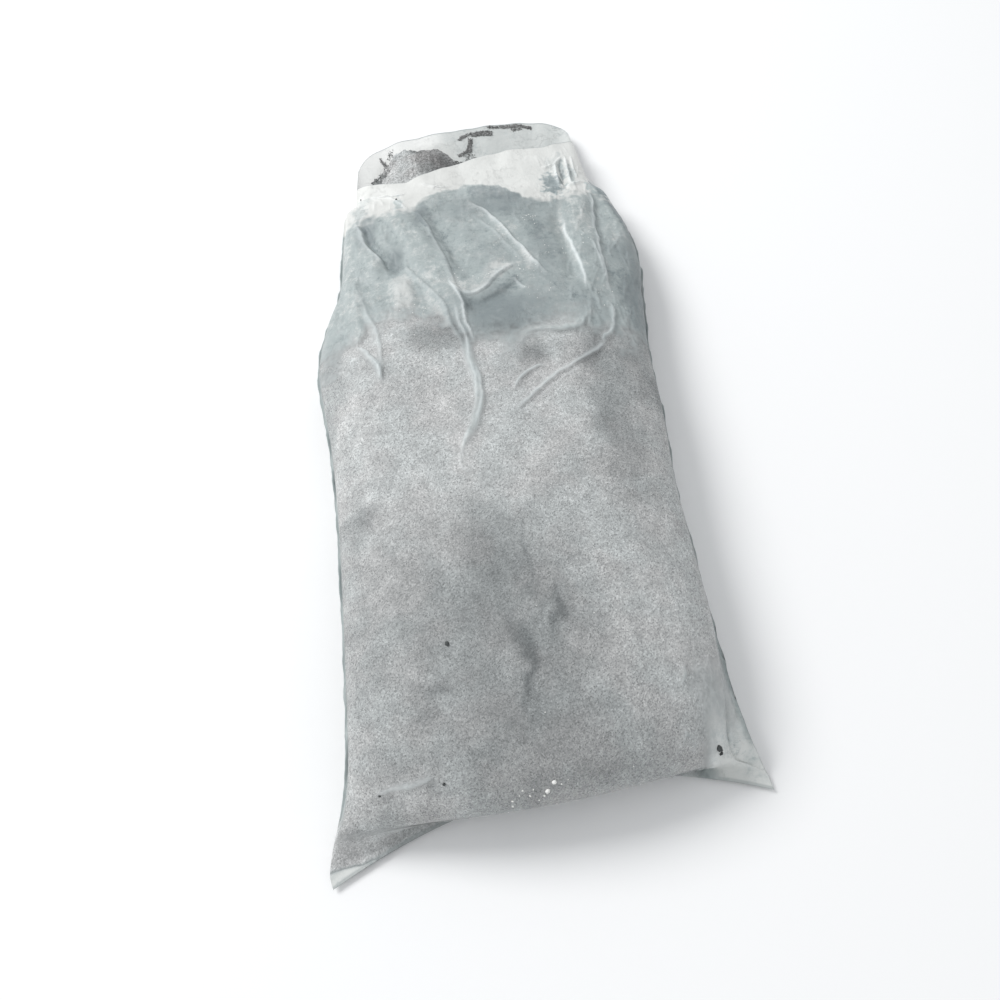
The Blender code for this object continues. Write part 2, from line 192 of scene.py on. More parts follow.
# The folds of the slack upper film. Each has its route in (x, y), its height, its width on the
# left and on the right of one who walks along it, its sharpness (1 a crest, 2 round, 4 flat on
# top), and how white the crest is: strained or doubled film, with a painted highlight along it.
FOLDS = (
    # the broad roll from the neck down the middle: its flat top, its sharp right edge, its foot
    (((-0.114, 0.280), (-0.096, 0.254), (-0.081, 0.225), (-0.068, 0.185), (-0.056, 0.140),
      (-0.044, 0.095), (-0.037, 0.060)), 0.0056, 0.015, 0.014, 3.4, 0.0),
    (((-0.075, 0.271), (-0.063, 0.242), (-0.053, 0.208), (-0.044, 0.163), (-0.037, 0.126),
      (-0.031, 0.088), (-0.027, 0.050)), 0.0026, 0.0014, 0.012, 1.7, 0.22),
    (((-0.039, 0.072), (-0.034, 0.043), (-0.030, 0.014), (-0.027, -0.014), (-0.031, -0.046),
      (-0.041, -0.072), (-0.047, -0.097)), 0.0024, 0.0065, 0.0060, 3.4, 0.0),
    (((-0.046, 0.146), (-0.041, 0.128), (-0.034, 0.099), (-0.029, 0.068), (-0.026, 0.036)),
     0.0012, 0.0012, 0.0016, 1.3, 0.80),
    (((-0.043, 0.105), (-0.038, 0.080), (-0.034, 0.050), (-0.031, 0.020), (-0.028, -0.010),
      (-0.034, -0.045)), 0.0010, 0.0016, 0.0014, 1.3, 0.55),
    (((-0.028, 0.020), (-0.024, -0.010), (-0.027, -0.040), (-0.036, -0.062)),
     0.0009, 0.0014, 0.0014, 1.3, 0.50),
    (((-0.036, -0.060), (-0.046, -0.080), (-0.050, -0.098), (-0.043, -0.108), (-0.036, -0.100)),
     0.0012, 0.0022, 0.0022, 1.4, 0.5),
    (((-0.102, 0.152), (-0.095, 0.164), (-0.084, 0.167), (-0.067, 0.132), (-0.052, 0.096),
      (-0.042, 0.055), (-0.036, 0.020)), 0.0022, 0.0016, 0.0070, 1.6, 0.18),
    # the furrow to the right of the broad roll
    (((-0.062, 0.265), (-0.050, 0.238), (-0.040, 0.204), (-0.033, 0.172), (-0.029, 0.150)),
     -0.0038, 0.013, 0.006, 2.2, 0.0),
    # the roll down the left side, the crevice to its right and the pocket at its foot
    (((-0.152, 0.258), (-0.144, 0.228), (-0.134, 0.197), (-0.123, 0.170), (-0.114, 0.150)),
     0.0050, 0.012, 0.012, 3.0, 0.0),
    (((-0.141, 0.266), (-0.137, 0.253), (-0.128, 0.223), (-0.117, 0.193), (-0.106, 0.165)),
     0.0030, 0.0010, 0.009, 1.5, 0.45),
    (((-0.132, 0.258), (-0.124, 0.228), (-0.113, 0.198), (-0.102, 0.170)),
     -0.0050, 0.006, 0.0035, 2.0, 0.0),
    (((-0.112, 0.186), (-0.101, 0.171), (-0.088, 0.166)), -0.0045, 0.006, 0.006, 2.0, 0.0),
    # the pale cushion of film below the pocket
    (((-0.096, 0.152), (-0.092, 0.130), (-0.086, 0.100)), 0.0040, 0.012, 0.012, 4.0, 0.0),
    # the pale strip and the fold down the left side
    (((-0.152, 0.241), (-0.149, 0.198), (-0.144, 0.139), (-0.140, 0.089), (-0.136, 0.050)),
     0.0034, 0.008, 0.009, 4.0, 0.0),
    (((-0.146, 0.063), (-0.132, 0.051), (-0.121, 0.030), (-0.115, 0.003)),
     0.0026, 0.0016, 0.008, 1.5, 0.55),
    (((-0.138, 0.150), (-0.131, 0.115), (-0.122, 0.080), (-0.117, 0.045), (-0.117, 0.005)),
     0.0022, 0.0014, 0.007, 1.5, 0.35),
    # the diagonal fold across the middle
    (((-0.017, 0.276), (-0.004, 0.262), (0.009, 0.246), (0.020, 0.224), (0.031, 0.201),
      (0.043, 0.173), (0.053, 0.150), (0.063, 0.129)), 0.0030, 0.0009, 0.0085, 1.6, 0.60),
    (((-0.010, 0.246), (0.006, 0.222), (0.022, 0.190), (0.038, 0.158)),
     0.0012, 0.0014, 0.0030, 1.4, 0.25),
    # the pocket shaped like a V and the furrow below it
    (((-0.050, 0.196), (-0.043, 0.160), (-0.031, 0.134), (-0.010, 0.134), (0.010, 0.156)),
     0.0026, 0.010, 0.007, 3.2, 0.0),
    (((-0.045, 0.128), (-0.036, 0.117), (-0.022, 0.114), (-0.005, 0.124), (0.009, 0.141),
      (0.033, 0.164)), 0.0026, 0.0080, 0.0010, 1.5, 0.50),
    (((-0.036, 0.106), (-0.010, 0.101), (0.012, 0.114), (0.034, 0.140)),
     -0.0028, 0.004, 0.012, 2.2, 0.0),
    (((0.022, 0.136), (0.030, 0.122), (0.038, 0.116)), 0.0014, 0.0012, 0.0016, 1.4, 0.5),
    # the tall roll on the right: its flat top and the creases of its two edges
    (((0.108, 0.296), (0.108, 0.262), (0.107, 0.222), (0.108, 0.180), (0.108, 0.140),
      (0.110, 0.100)), 0.0050, 0.013, 0.014, 3.4, 0.0),
    (((0.088, 0.236), (0.088, 0.208), (0.093, 0.177), (0.097, 0.137), (0.095, 0.106)),
     0.0013, 0.0010, 0.0010, 1.3, 0.85),
    (((0.127, 0.302), (0.127, 0.264), (0.124, 0.223), (0.121, 0.184), (0.120, 0.148),
      (0.121, 0.115), (0.124, 0.090)), 0.0016, 0.0009, 0.0040, 1.4, 0.60),
    (((0.113, 0.190), (0.116, 0.160), (0.117, 0.130)), 0.0010, 0.0010, 0.0012, 1.3, 0.5),
    (((0.084, 0.256), (0.084, 0.224), (0.087, 0.190), (0.090, 0.156), (0.090, 0.120)),
     -0.0040, 0.004, 0.009, 2.2, 0.0),
    (((0.132, 0.290), (0.131, 0.255), (0.128, 0.220), (0.126, 0.178)),
     -0.0030, 0.007, 0.004, 2.0, 0.0),
    # the shoulder at the right
    (((0.144, 0.282), (0.151, 0.252), (0.155, 0.212), (0.154, 0.168)),
     0.0032, 0.008, 0.009, 3.0, 0.0),
    # the gathers at the right end of the mouth
    (((0.100, 0.339), (0.100, 0.319), (0.100, 0.292), (0.103, 0.277)),
     -0.0040, 0.0022, 0.0022, 1.6, 0.0),
    (((0.094, 0.334), (0.094, 0.312), (0.095, 0.288)), 0.0026, 0.0016, 0.0016, 1.5, 0.5),
    (((0.107, 0.350), (0.107, 0.326), (0.106, 0.300), (0.112, 0.288)),
     0.0030, 0.0018, 0.0018, 1.5, 0.6),
    (((0.116, 0.352), (0.115, 0.326), (0.117, 0.304)), 0.0024, 0.0016, 0.0016, 1.5, 0.4),
    (((0.088, 0.290), (0.104, 0.290), (0.124, 0.302)), 0.0024, 0.0012, 0.0030, 1.5, 0.45),
    (((0.076, 0.322), (0.092, 0.330), (0.104, 0.346)), 0.0014, 0.0018, 0.0018, 1.5, 0.3),
    # the two arches and the diagonal ridge below them
    (((0.010, 0.034), (0.022, 0.045), (0.036, 0.053), (0.049, 0.055), (0.064, 0.054),
      (0.082, 0.060), (0.098, 0.088)), 0.0026, 0.009, 0.0030, 2.4, 0.10),
    (((0.014, 0.034), (0.025, 0.043), (0.036, 0.048), (0.052, 0.050)),
     0.0012, 0.0016, 0.0012, 1.4, 0.45),
    (((0.004, -0.024), (0.013, -0.010), (0.024, 0.002), (0.035, 0.007), (0.044, 0.003)),
     0.0026, 0.0034, 0.0016, 2.0, 0.45),
    (((-0.008, -0.060), (0.010, -0.042), (0.031, -0.023), (0.053, -0.005), (0.080, 0.015),
      (0.101, 0.033), (0.120, 0.052)), 0.0026, 0.0060, 0.0010, 1.6, 0.50),
    (((0.005, -0.053), (0.030, -0.032), (0.058, -0.008), (0.084, 0.010)),
     0.0008, 0.0010, 0.0012, 1.4, 0.45),
    (((0.098, 0.036), (0.112, 0.052), (0.118, 0.075), (0.116, 0.098)), 0.0026, 0.003, 0.003, 1.8, 0.35),
    # a smooth flat blister under the foot of the broad roll
    (((-0.013, 0.000), (-0.013, -0.050), (-0.014, -0.100), (-0.012, -0.156)),
     0.0012, 0.0120, 0.0120, 3.0, 0.0),
    # the crease across the bottom left
    (((-0.150, -0.383), (-0.143, -0.379), (-0.125, -0.378), (-0.107, -0.376), (-0.092, -0.372)),
     0.0022, 0.005, 0.0016, 1.5, 0.50),
    # the dipped lip of the mouth and the soft folds below it on the left
    (((-0.125, 0.308), (-0.105, 0.296), (-0.080, 0.292)), 0.0022, 0.005, 0.0015, 1.6, 0.35),
    (((-0.112, 0.306), (-0.092, 0.284), (-0.076, 0.262)), 0.0020, 0.0012, 0.004, 1.5, 0.40),
    (((-0.066, 0.318), (-0.044, 0.300), (-0.026, 0.296)), 0.0016, 0.0030, 0.0012, 1.5, 0.25),
)

# Dust lies unevenly on the inside of the loose film, and a fold cuts each patch off sharply. Some
# patches are painted light on the tops of rolls and painted shade in furrows, crevices and below folds.
# Each patch has its route, its width on the left and on the right, its sharpness, and how pale (over
# 0) or dark (under 0) the film looks there.
SMEARS_AND_SHADING = (
    (((-0.156, 0.250), (-0.150, 0.205), (-0.145, 0.150), (-0.140, 0.095), (-0.135, 0.055)),
     0.009, 0.008, 7.0, 0.30),
    (((-0.139, 0.239), (-0.128, 0.200), (-0.120, 0.154), (-0.116, 0.115)), 0.0075, 0.008, 5.0, 0.16),
    # painted shade in the crevice right of the left roll and in the pocket at its foot
    (((-0.133, 0.262), (-0.124, 0.230), (-0.113, 0.198), (-0.102, 0.171)), 0.006, 0.0035, 2.4, -0.52),
    (((-0.108, 0.180), (-0.098, 0.170), (-0.086, 0.168)), 0.006, 0.0035, 2.2, -0.40),
    # painted light along the top of the broad roll
    (((-0.116, 0.284), (-0.096, 0.248), (-0.080, 0.208), (-0.066, 0.168), (-0.053, 0.126),
      (-0.044, 0.085)), 0.012, 0.013, 3.0, 0.26),
    # painted shade in the furrow right of the broad roll
    (((-0.061, 0.266), (-0.048, 0.228), (-0.040, 0.196), (-0.036, 0.180)),
     0.0030, 0.009, 2.4, -0.30),
    (((-0.112, 0.262), (-0.100, 0.232), (-0.092, 0.205)), 0.0016, 0.0040, 2.0, -0.30),
    (((-0.077, 0.275), (-0.072, 0.262), (-0.066, 0.240), (-0.060, 0.222)), 0.0040, 0.0012, 2.5, -0.85),
    (((-0.098, 0.158), (-0.090, 0.134), (-0.089, 0.098)), 0.011, 0.013, 4.0, 0.80),
    (((-0.068, 0.122), (-0.054, 0.090), (-0.044, 0.050), (-0.038, 0.010)), 0.0010, 0.012, 4.0, 0.45),
    (((-0.017, 0.274), (-0.004, 0.258), (0.009, 0.240), (0.020, 0.220), (0.031, 0.197),
      (0.043, 0.169), (0.055, 0.142)), 0.0030, 0.0075, 3.0, 0.40),
    (((-0.014, 0.288), (0.010, 0.286), (0.032, 0.276), (0.048, 0.266)), 0.010, 0.013, 4.0, -0.80),
    # painted shade right of the diagonal fold
    (((0.022, 0.256), (0.046, 0.236), (0.062, 0.200), (0.071, 0.160)), 0.014, 0.012, 3.0, -0.42),
    (((-0.048, 0.142), (-0.034, 0.126), (-0.018, 0.124), (0.000, 0.140), (0.024, 0.166)),
     0.012, 0.0085, 5.0, 0.48),
    # painted shade in the furrow below the V pocket
    (((-0.036, 0.102), (-0.012, 0.100), (0.010, 0.116), (0.030, 0.140)), 0.0080, 0.011, 3.0, -0.62),
    (((-0.020, 0.086), (0.006, 0.088), (0.026, 0.076)), 0.012, 0.014, 3.0, -0.42),
    (((0.112, 0.300), (0.108, 0.262), (0.106, 0.220), (0.106, 0.190)), 0.013, 0.012, 5.0, 0.34),
    (((0.150, 0.262), (0.150, 0.221), (0.150, 0.186)), 0.014, 0.022, 4.0, 0.22),
    (((0.088, 0.262), (0.087, 0.225), (0.090, 0.190), (0.093, 0.150)), 0.0022, 0.0050, 2.4, 0.45),
    (((0.137, 0.150), (0.143, 0.122), (0.147, 0.090), (0.150, 0.060)), 0.020, 0.020, 3.0, -0.62),
    (((-0.013, 0.010), (-0.013, -0.050), (-0.014, -0.110), (-0.012, -0.190)), 0.012, 0.012, 2.4, 0.62),
    (((0.018, 0.040), (0.036, 0.056), (0.060, 0.058), (0.084, 0.062)), 0.008, 0.0035, 4.0, 0.45),
    (((0.080, 0.276), (0.087, 0.292), (0.096, 0.308)), 0.0110, 0.0110, 4.0, -0.80),
    # painted shade in the gathers at the right end of the mouth
    (((0.100, 0.342), (0.100, 0.319), (0.101, 0.294)), 0.0022, 0.0022, 3.0, -0.80),
    (((0.106, 0.336), (0.110, 0.318), (0.111, 0.300)), 0.0016, 0.0030, 3.0, -0.60),
    (((0.018, -0.034), (0.045, -0.012), (0.074, 0.012), (0.104, 0.040)), 0.006, 0.0014, 4.0, 0.30),
    (((0.070, 0.020), (0.094, 0.042), (0.106, 0.070)), 0.010, 0.006, 3.0, -0.15),
)


def edge_of_dust(x):
    """The y up to which dust touches the upper film: a line through measured points, made ragged."""
    at = np.interp(x, (-0.150, -0.120, -0.092, -0.077, -0.066, -0.054, -0.042, -0.015, 0.005,
                       0.025, 0.046, 0.054, 0.070, 0.100, 0.130, 0.150),
                   (0.262, 0.262, 0.262, 0.262, 0.275, 0.285, 0.289, 0.299, 0.296,
                    0.293, 0.277, 0.268, 0.262, 0.268, 0.278, 0.270))
    return at + 0.0025 * cloud(x, 0 * x, 0.012, 3) + 0.0015 * cloud(x, 0 * x, 0.004, 4)


def slack_at(x, y):
    """How far the dust lies below the base surface of the upper film: nothing on the body, and
    up to 5 mm where the neck is loose."""
    start = np.interp(x, (-0.190, -0.150, -0.110, -0.060, -0.030, 0.010, 0.050, 0.090, 0.120, 0.160),
                      (0.040, 0.058, 0.084, 0.086, 0.056, 0.040, 0.064, 0.062, 0.040, 0.060))
    start = start + 0.020 * cloud(x, y, 0.034, 10) + 0.008 * cloud(x, y, 0.012, 9)
    loose = ramp(y, start - 0.036, start + 0.040) * (0.0042 + 0.0008 * cloud(x, y, 0.048, 11))
    return np.clip(loose, 0.0, 0.0055)


def heave(x, y):
    """The lumps of the dust load that the film follows: broad 1.5 mm swells and small dents."""
    return (0.0016 * cloud(x, y, 0.085, 21) + 0.0008 * cloud(x, y, 0.034, 22)
            + 0.00035 * cloud(x, y, 0.013, 23))


def wrinkle_routes(count, seed, x_range, y_range, length, turn, tilt=math.pi / 2):
    """Short random routes of three points: centre, length and direction within turn of tilt."""
    rng = np.random.default_rng(seed)
    centre = np.stack([rng.uniform(*x_range, count), rng.uniform(*y_range, count)], -1)
    angle = tilt + rng.uniform(-turn, turn, count)
    half = rng.uniform(*length, count)[:, None] / 2 * np.stack([np.cos(angle), np.sin(angle)], -1)
    bow = rng.uniform(-0.14, 0.14, count)[:, None] * np.stack([-half[:, 1], half[:, 0]], -1)
    scale = rng.uniform(0.4, 1.0, count)
    return [((c + h, c + b, c - h), s) for c, h, b, s in zip(centre, half, bow, scale)]


# Small creases: how many, seed, x range, y range, lengths, spread of direction, height, width
CREASES = (
    (60, 31, (-0.150, 0.150), (0.050, 0.290), (0.014, 0.050), 0.70, 0.0006, 0.0020),
    (110, 38, (-0.140, 0.150), (0.050, 0.290), (0.006, 0.022), 1.50, 0.0003, 0.0013),
    (90, 39, (-0.160, -0.080), (0.050, 0.290), (0.012, 0.040), 0.35, 0.0006, 0.0012),
    (90, 32, (0.080, 0.160), (0.030, 0.330), (0.012, 0.050), 0.40, 0.0008, 0.0012),
    (34, 33, (-0.160, -0.070), (0.080, 0.290), (0.015, 0.055), 0.40, 0.0006, 0.0018),
    (130, 34, (0.095, 0.165), (-0.340, 0.100), (0.016, 0.075), 0.32, 0.0008, 0.0018),
    (60, 35, (-0.188, -0.145), (-0.370, 0.090), (0.018, 0.070), 0.30, 0.0007, 0.0020),
    (60, 36, (-0.150, 0.130), (-0.340, 0.050), (0.018, 0.070), 0.80, 0.00022, 0.0030),
    (50, 37, (-0.190, -0.090), (-0.430, -0.330), (0.012, 0.040), 0.9, 0.0008, 0.0016),
    (60, 40, (0.095, 0.188), (-0.400, -0.300), (0.012, 0.050), 0.9, 0.0010, 0.0015),
    (50, 41, (-0.130, 0.110), (0.270, 0.400), (0.010, 0.036), 0.6, 0.0005, 0.0014),
)


def add_crease(lift, white, x, y, route, height, left, right, power, pale):
    """Adds height * exp(-(distance / width)^power) along a route, tapered at both ends."""
    keys = np.array(route)
    reach = 3.2 * max(left, right)
    near = ((x > keys[:, 0].min() - reach) & (x < keys[:, 0].max() + reach)
            & (y > keys[:, 1].min() - reach) & (y < keys[:, 1].max() + reach))
    if not near.any():
        return
    distance, share = beside(x[near], y[near], route)
    width = np.where(distance > 0, left, right)
    taper = ramp(share, 0.0, 0.22) * ramp(1 - share, 0.0, 0.22)
    rise = taper * np.exp(-(abs(distance) / width) ** power)
    lift[near] += height * rise
    # a white line along the crest: doubled film with a painted highlight
    if pale:
        line = taper * np.exp(-(distance / (0.45 * np.minimum(width, 0.008) + 0.0009)) ** 2)
        white[near] = np.maximum(white[near], 0.72 * pale * line)


def film_tone(x, y):
    """How pale or dark the film looks: dust on its inside and painted light and shade on its folds, over a fine
    general mottle.
    """
    wx = x + 0.0020 * cloud(x, y, 0.024, 45) + 0.0008 * cloud(x, y, 0.007, 46)
    wy = y + 0.0020 * cloud(x, y, 0.024, 47) + 0.0008 * cloud(x, y, 0.007, 48)
    tone = 0.10 * cloud(x, y, 0.030, 49) + 0.07 * cloud(x, y, 0.009, 50)
    for route, left, right, power, value in SMEARS_AND_SHADING:
        distance, share = beside(wx, wy, route)
        width = np.where(distance > 0, left, right)
        cover = np.exp(-(abs(distance) / width) ** power) * ramp(share, 0.0, 0.06) * ramp(1 - share, 0.0, 0.10)
        tone = tone + cover * (value - tone)
    return tone


def film_folds(x, y):
    """Height of the upper film over its base surface, and how white it is along the crests, with a painted highlight.
    """
    wobble_x = x + 0.0022 * cloud(x, y, 0.028, 41) + 0.0007 * cloud(x, y, 0.009, 42)
    wobble_y = y + 0.0022 * cloud(x, y, 0.028, 43) + 0.0007 * cloud(x, y, 0.009, 44)
    lift = np.zeros_like(x)
    white = np.zeros_like(x)
    for route, height, left, right, power, pale in FOLDS:
        add_crease(lift, white, wobble_x, wobble_y, route, height, left, right, power, pale)
    for count, seed, x_range, y_range, length, turn, height, width in CREASES:
        for route, scale in wrinkle_routes(count, seed, x_range, y_range, length, turn):
            add_crease(lift, white, wobble_x, wobble_y, route, height * scale, width, width,
                       1.5, 0.09 * scale)
    return lift, white


# Rows of points between each two sections, closer together where the film is folded
ROW_COUNTS = (12, 12, 16, 18, 20, 24, 30, 34, 40, 56, 66, 58, 56, 42, 26, 26, 50)
ROWS = np.concatenate([[0.0]] + [k + np.arange(1, n + 1) / n for k, n in enumerate(ROW_COUNTS)])[:, None]
ACROSS = spread(310)
BELOW = spread(48)
FIN = 0.022             # spare film beside the dust, as a share of the half width


def fin_at(place, u):
    """The spare film beside the dust, as a share of the half width: a narrow fin along both sides,
    and a broad one at the right near the weld, where the dust stops short of the ear."""
    body = FIN * ramp(place, 2.0, 4.5) * ramp(16.0 - place, 0.0, 2.5)
    ear = 0.125 * ramp(place, 1.0, 3.0) * ramp(6.6 - place, 0.0, 3.2) * (u > 0)
    return body + ear


upper, _ = sheets(ROWS, ACROSS, fin_at(ROWS, ACROSS))
_, under = sheets(ROWS, BELOW, fin_at(ROWS, BELOW))
rings = ring_loop(upper, under)
out = outward(rings)
top = slice(0, len(ACROSS))
x, y = rings[..., 0], rings[..., 1]

fold_lift, fold_white = film_folds(x[:, top], y[:, top])
slack = slack_at(x[:, top], y[:, top])
stand = 1 - abs(ACROSS) ** 12
in_neck = ramp(y[:, top], 0.255, 0.300)
clear = np.maximum(fold_lift * stand, -slack * stand)
clear = clear + 0.0014 * cloud(x[:, top], y[:, top], 0.026, 12) * ramp(y[:, top], 0.05, 0.15) * stand
clear = np.maximum(clear, -slack * stand)
lift = np.zeros(x.shape)
lift[:, top] = clear + heave(x[:, top], y[:, top]) * stand * ramp(ROWS, 2.0, 4.0) * (1 - in_neck)
points = rings + out * lift[..., None]

# the fold edges of the tube waver, and the upper lip dips at the left
edge = ramp(np.abs(np.concatenate([ACROSS, BELOW[-2:0:-1]])), 0.955, 1.0)
waver = 0.0018 * cloud(y, 0 * y, 0.034, 13) + 0.0005 * cloud(y, 0 * y, 0.010, 14)
body = ramp(ROWS, 2.5, 4.0) * ramp(14.0 - ROWS, 0.0, 1.0)
points[..., 0] -= np.sign(x) * edge * body * (0.0012 + np.abs(waver))
points[..., 2] += edge * body * 0.004 * cloud(y, 0 * y + 1.0, 0.019, 15)
near_lip = ramp(ROWS, 15.6, 17.0)
points[:, top, 1] += near_lip * np.interp(
    x[:, top], (-0.137, -0.123, -0.100, -0.079, -0.047, -0.020, 0.019, 0.047, 0.085, 0.120),
    (0.0, -0.0047, -0.0105, -0.0122, -0.0036, 0.0, 0.0047, 0.0044, -0.0032, 0.0))
points[:, top, 2] += near_lip * 0.0016 * cloud(x[:, top], 0 * y[:, top], 0.020, 16)
points[:, top.stop:, 2] += (near_lip * 0.0020 * (1 + cloud(x[:, top.stop:], 0 * y[:, top.stop:], 0.022, 17)))
points[..., 2] = np.maximum(points[..., 2], FLOOR_GAP)

# Blots of dust held on the inside of the neck: (x, y), half width, half length, strength
BLOTS = (
    (0.087, 0.293, 0.016, 0.024, 1.00), (0.100, 0.320, 0.004, 0.024, 0.90),
    (0.110, 0.310, 0.006, 0.024, 0.75), (0.094, 0.330, 0.012, 0.018, 0.35),
    (0.141, 0.292, 0.020, 0.022, 1.00), (-0.134, 0.276, 0.010, 0.012, 0.60), (-0.090, 0.276, 0.006, 0.012, 0.85),
    (-0.128, 0.296, 0.010, 0.010, 0.40), (0.100, 0.350, 0.003, 0.004, 0.60),
)

# Where the dust is damp or packed it is darker, and in the pockets and crevices of the neck some of
# these patches are painted shade: (x, y), half width, half length, strength
DAMP_AND_SHADE = (
    (-0.014, -0.288, 0.006, 0.030, 0.60), (0.016, -0.250, 0.005, 0.018, 0.55),
    (-0.092, -0.306, 0.016, 0.006, 0.25), (-0.002, -0.190, 0.003, 0.036, 0.30),
    (-0.020, -0.260, 0.070, 0.110, 0.42), (0.000, -0.360, 0.090, 0.045, 0.22),
    (-0.040, -0.200, 0.030, 0.050, 0.16), (0.100, -0.040, 0.022, 0.120, 0.42),
    (0.090, -0.320, 0.050, 0.060, 0.05), (-0.055, 0.055, 0.028, 0.022, 0.45),
    (-0.130, -0.250, 0.050, 0.130, 0.30), (-0.110, 0.000, 0.035, 0.050, 0.12),
    (0.004, 0.086, 0.040, 0.030, 0.75), (0.030, 0.022, 0.016, 0.018, 0.45),
    (0.080, 0.030, 0.020, 0.016, 0.30), (0.018, 0.262, 0.045, 0.022, 0.60),
    # painted shade in the pocket and in the crevice beside the left roll
    (-0.101, 0.186, 0.010, 0.016, 0.80), (-0.128, 0.246, 0.006, 0.030, 0.70),
    (-0.066, 0.256, 0.005, 0.022, 0.75), (0.155, 0.130, 0.018, 0.060, 0.75),
    (0.140, 0.020, 0.020, 0.060, 0.35), (0.164, 0.245, 0.006, 0.050, 0.90),
    (-0.150, -0.140, 0.016, 0.014, 0.35), (0.082, 0.300, 0.011, 0.014, 0.60),
    (0.060, 0.175, 0.020, 0.060, 0.30), (-0.172, 0.020, 0.010, 0.060, 0.25),
)


def damp_and_shade_at(x, y):
    """Darker patches with soft ragged edges, of wet dust and, in the neck's pockets and crevices, of painted shade,
    over a faint general mottle.
    """
    wx = x + 0.012 * cloud(x, y, 0.040, 71) + 0.005 * cloud(x, y, 0.013, 72)
    wy = y + 0.012 * cloud(x, y, 0.040, 73) + 0.005 * cloud(x, y, 0.013, 74)
    damp_and_shade = 0.10 + 0.16 * np.maximum(cloud(x, y, 0.060, 75), 0) + 0.10 * cloud(x, y, 0.017, 76)
    for cx, cy, half_x, half_y, strength in DAMP_AND_SHADE:
        far = np.hypot((wx - cx) / half_x, (wy - cy) / half_y)
        damp_and_shade = damp_and_shade + strength * (1 - ramp(far, 0.35, 1.7)) * np.clip(1.1 - damp_and_shade, 0, 1)
    return np.clip(damp_and_shade, 0.0, 1.0)


touching = np.full(x.shape, 1.0)
ragged = slack + 0.0011 * cloud(x[:, top], y[:, top], 0.012, 87) + 0.0006 * cloud(x[:, top], y[:, top], 0.004, 88)
touching[:, top] = (1 - ramp(ragged, 0.0, 0.0044)) * (1 - 0.9 * ramp(clear, 0.0008, 0.0036))
touching = touching * (1 - ramp(edge, 0.1, 0.8) * body)
white = np.zeros(x.shape)
white[:, top] = fold_white
edge_width = np.interp(x, (-0.140, -0.090, -0.070, -0.040, 0.040, 0.070, 0.150),
                       (0.020, 0.017, 0.008, 0.005, 0.004, 0.010, 0.014))
above_dust = y - edge_of_dust(x) + 0.5 * edge_width * cloud(x, y, 0.008, 90)
dusty_and_shade = 1 - ramp(above_dust / edge_width, -0.5, 0.5)
for cx, cy, half_x, half_y, strength in BLOTS:
    ragged = 0.5 * cloud(x, y, 0.006, 81) + 0.3 * cloud(x, y, 0.0025, 82)
    far = np.hypot((x - cx) / half_x, (y - cy) / half_y) + ragged
    dusty_and_shade[:, top] = np.maximum(dusty_and_shade, strength * (1 - ramp(far, 0.55, 1.15)))[:, top]
inside = slice(top.stop, None)
in_mouth = ramp(y[:, inside], 0.325, 0.345)
# Inside the mouth the lower film is darker towards the right, under the upper lip: painted shade, over a little
# smeared dust, laid in through the dusty, damp and veil values.
shaded = ramp(x[:, inside] + 0.25 * (y[:, inside] - 0.40) + 0.006 * cloud(x, y, 0.020, 83)[:, inside],
              -0.055, -0.005)
dusty_and_shade[:, inside] = (1 - in_mouth) + in_mouth * (0.10 + 0.74 * shaded)
touching[:, inside] *= 1 - in_mouth
damp_and_shade = damp_and_shade_at(x, y)
damp_and_shade[:, inside] = (1 - in_mouth) * 0.5 * damp_and_shade[:, inside] + in_mouth * shaded * 0.34
tone = film_tone(x, y) * np.ones(x.shape)
tone[:, inside] = 0.85 * in_mouth
# A dark band down the right shoulder: painted shadow of the layered film, and dust on its inside.
shoulder = ramp(ACROSS, 0.89, 0.925) * (1 - ramp(ACROSS, 0.975, 0.99)) * ramp(y[:, top], 0.195, 0.225) * (1 - ramp(y[:, top], 0.310, 0.325))
tone[:, top] = tone[:, top] + shoulder * (-0.95 - tone[:, top])

# how much milkier the film is than where it lies on the dust: in the ears, at the mouth, on edges
veil = np.zeros(x.shape)
veil[:, top] = 0.22 * ramp(above_dust / edge_width, -0.5, 0.5)[:, top]
# Inside the mouth the film is milkier towards the right with the painted shade.
veil[:, inside] = in_mouth * (-0.06 + 0.26 * shaded)
past_seal = -0.427 + 0.19 * (x + 0.1936) + 0.0015 * cloud(x, y, 0.012, 89) - y
at_tip = ramp(-x, 0.140, 0.160)
tip = ramp(past_seal, -0.001, 0.002) * at_tip
ragged = 0.010 * cloud(x, y, 0.024, 84) + 0.004 * cloud(x, y, 0.006, 92)
ear_right = ramp(6.4 - ROWS, 0.0, 3.4) * ramp(x + 0.14 * (y + 0.34) + ragged, 0.112, 0.146)
packed = ramp(3.0 - ROWS, 0.0, 0.9) * (1 - np.maximum(ramp(x + ragged, 0.080, 0.128), tip))
ears = np.maximum(tip, ear_right)
veil = np.maximum(veil, 0.36 * ears)
touching = touching * (1 - ears)
dusty_and_shade = np.maximum(dusty_and_shade, ears)
smudge = 0.30 * cloud(x, y, 0.016, 85) + 0.35 * np.minimum(cloud(x, y, 0.0045, 86), 0)
tone = tone + ears * (0.90 + smudge - tone)
damp_and_shade = damp_and_shade * (1 - ears)
lip = ramp(ROWS, LAST_PLACE - 0.022, LAST_PLACE - 0.004)
weld = ramp(0.30 - ROWS, 0.0, 0.12) * np.ones(x.shape)
veil = np.maximum(veil, 0.5 * np.maximum(lip, edge * body))
rim = np.maximum(np.maximum(0.85 * lip, 0.8 * edge * body), 0.6 * weld * (1 - ears) + 0.5 * weld * ears)
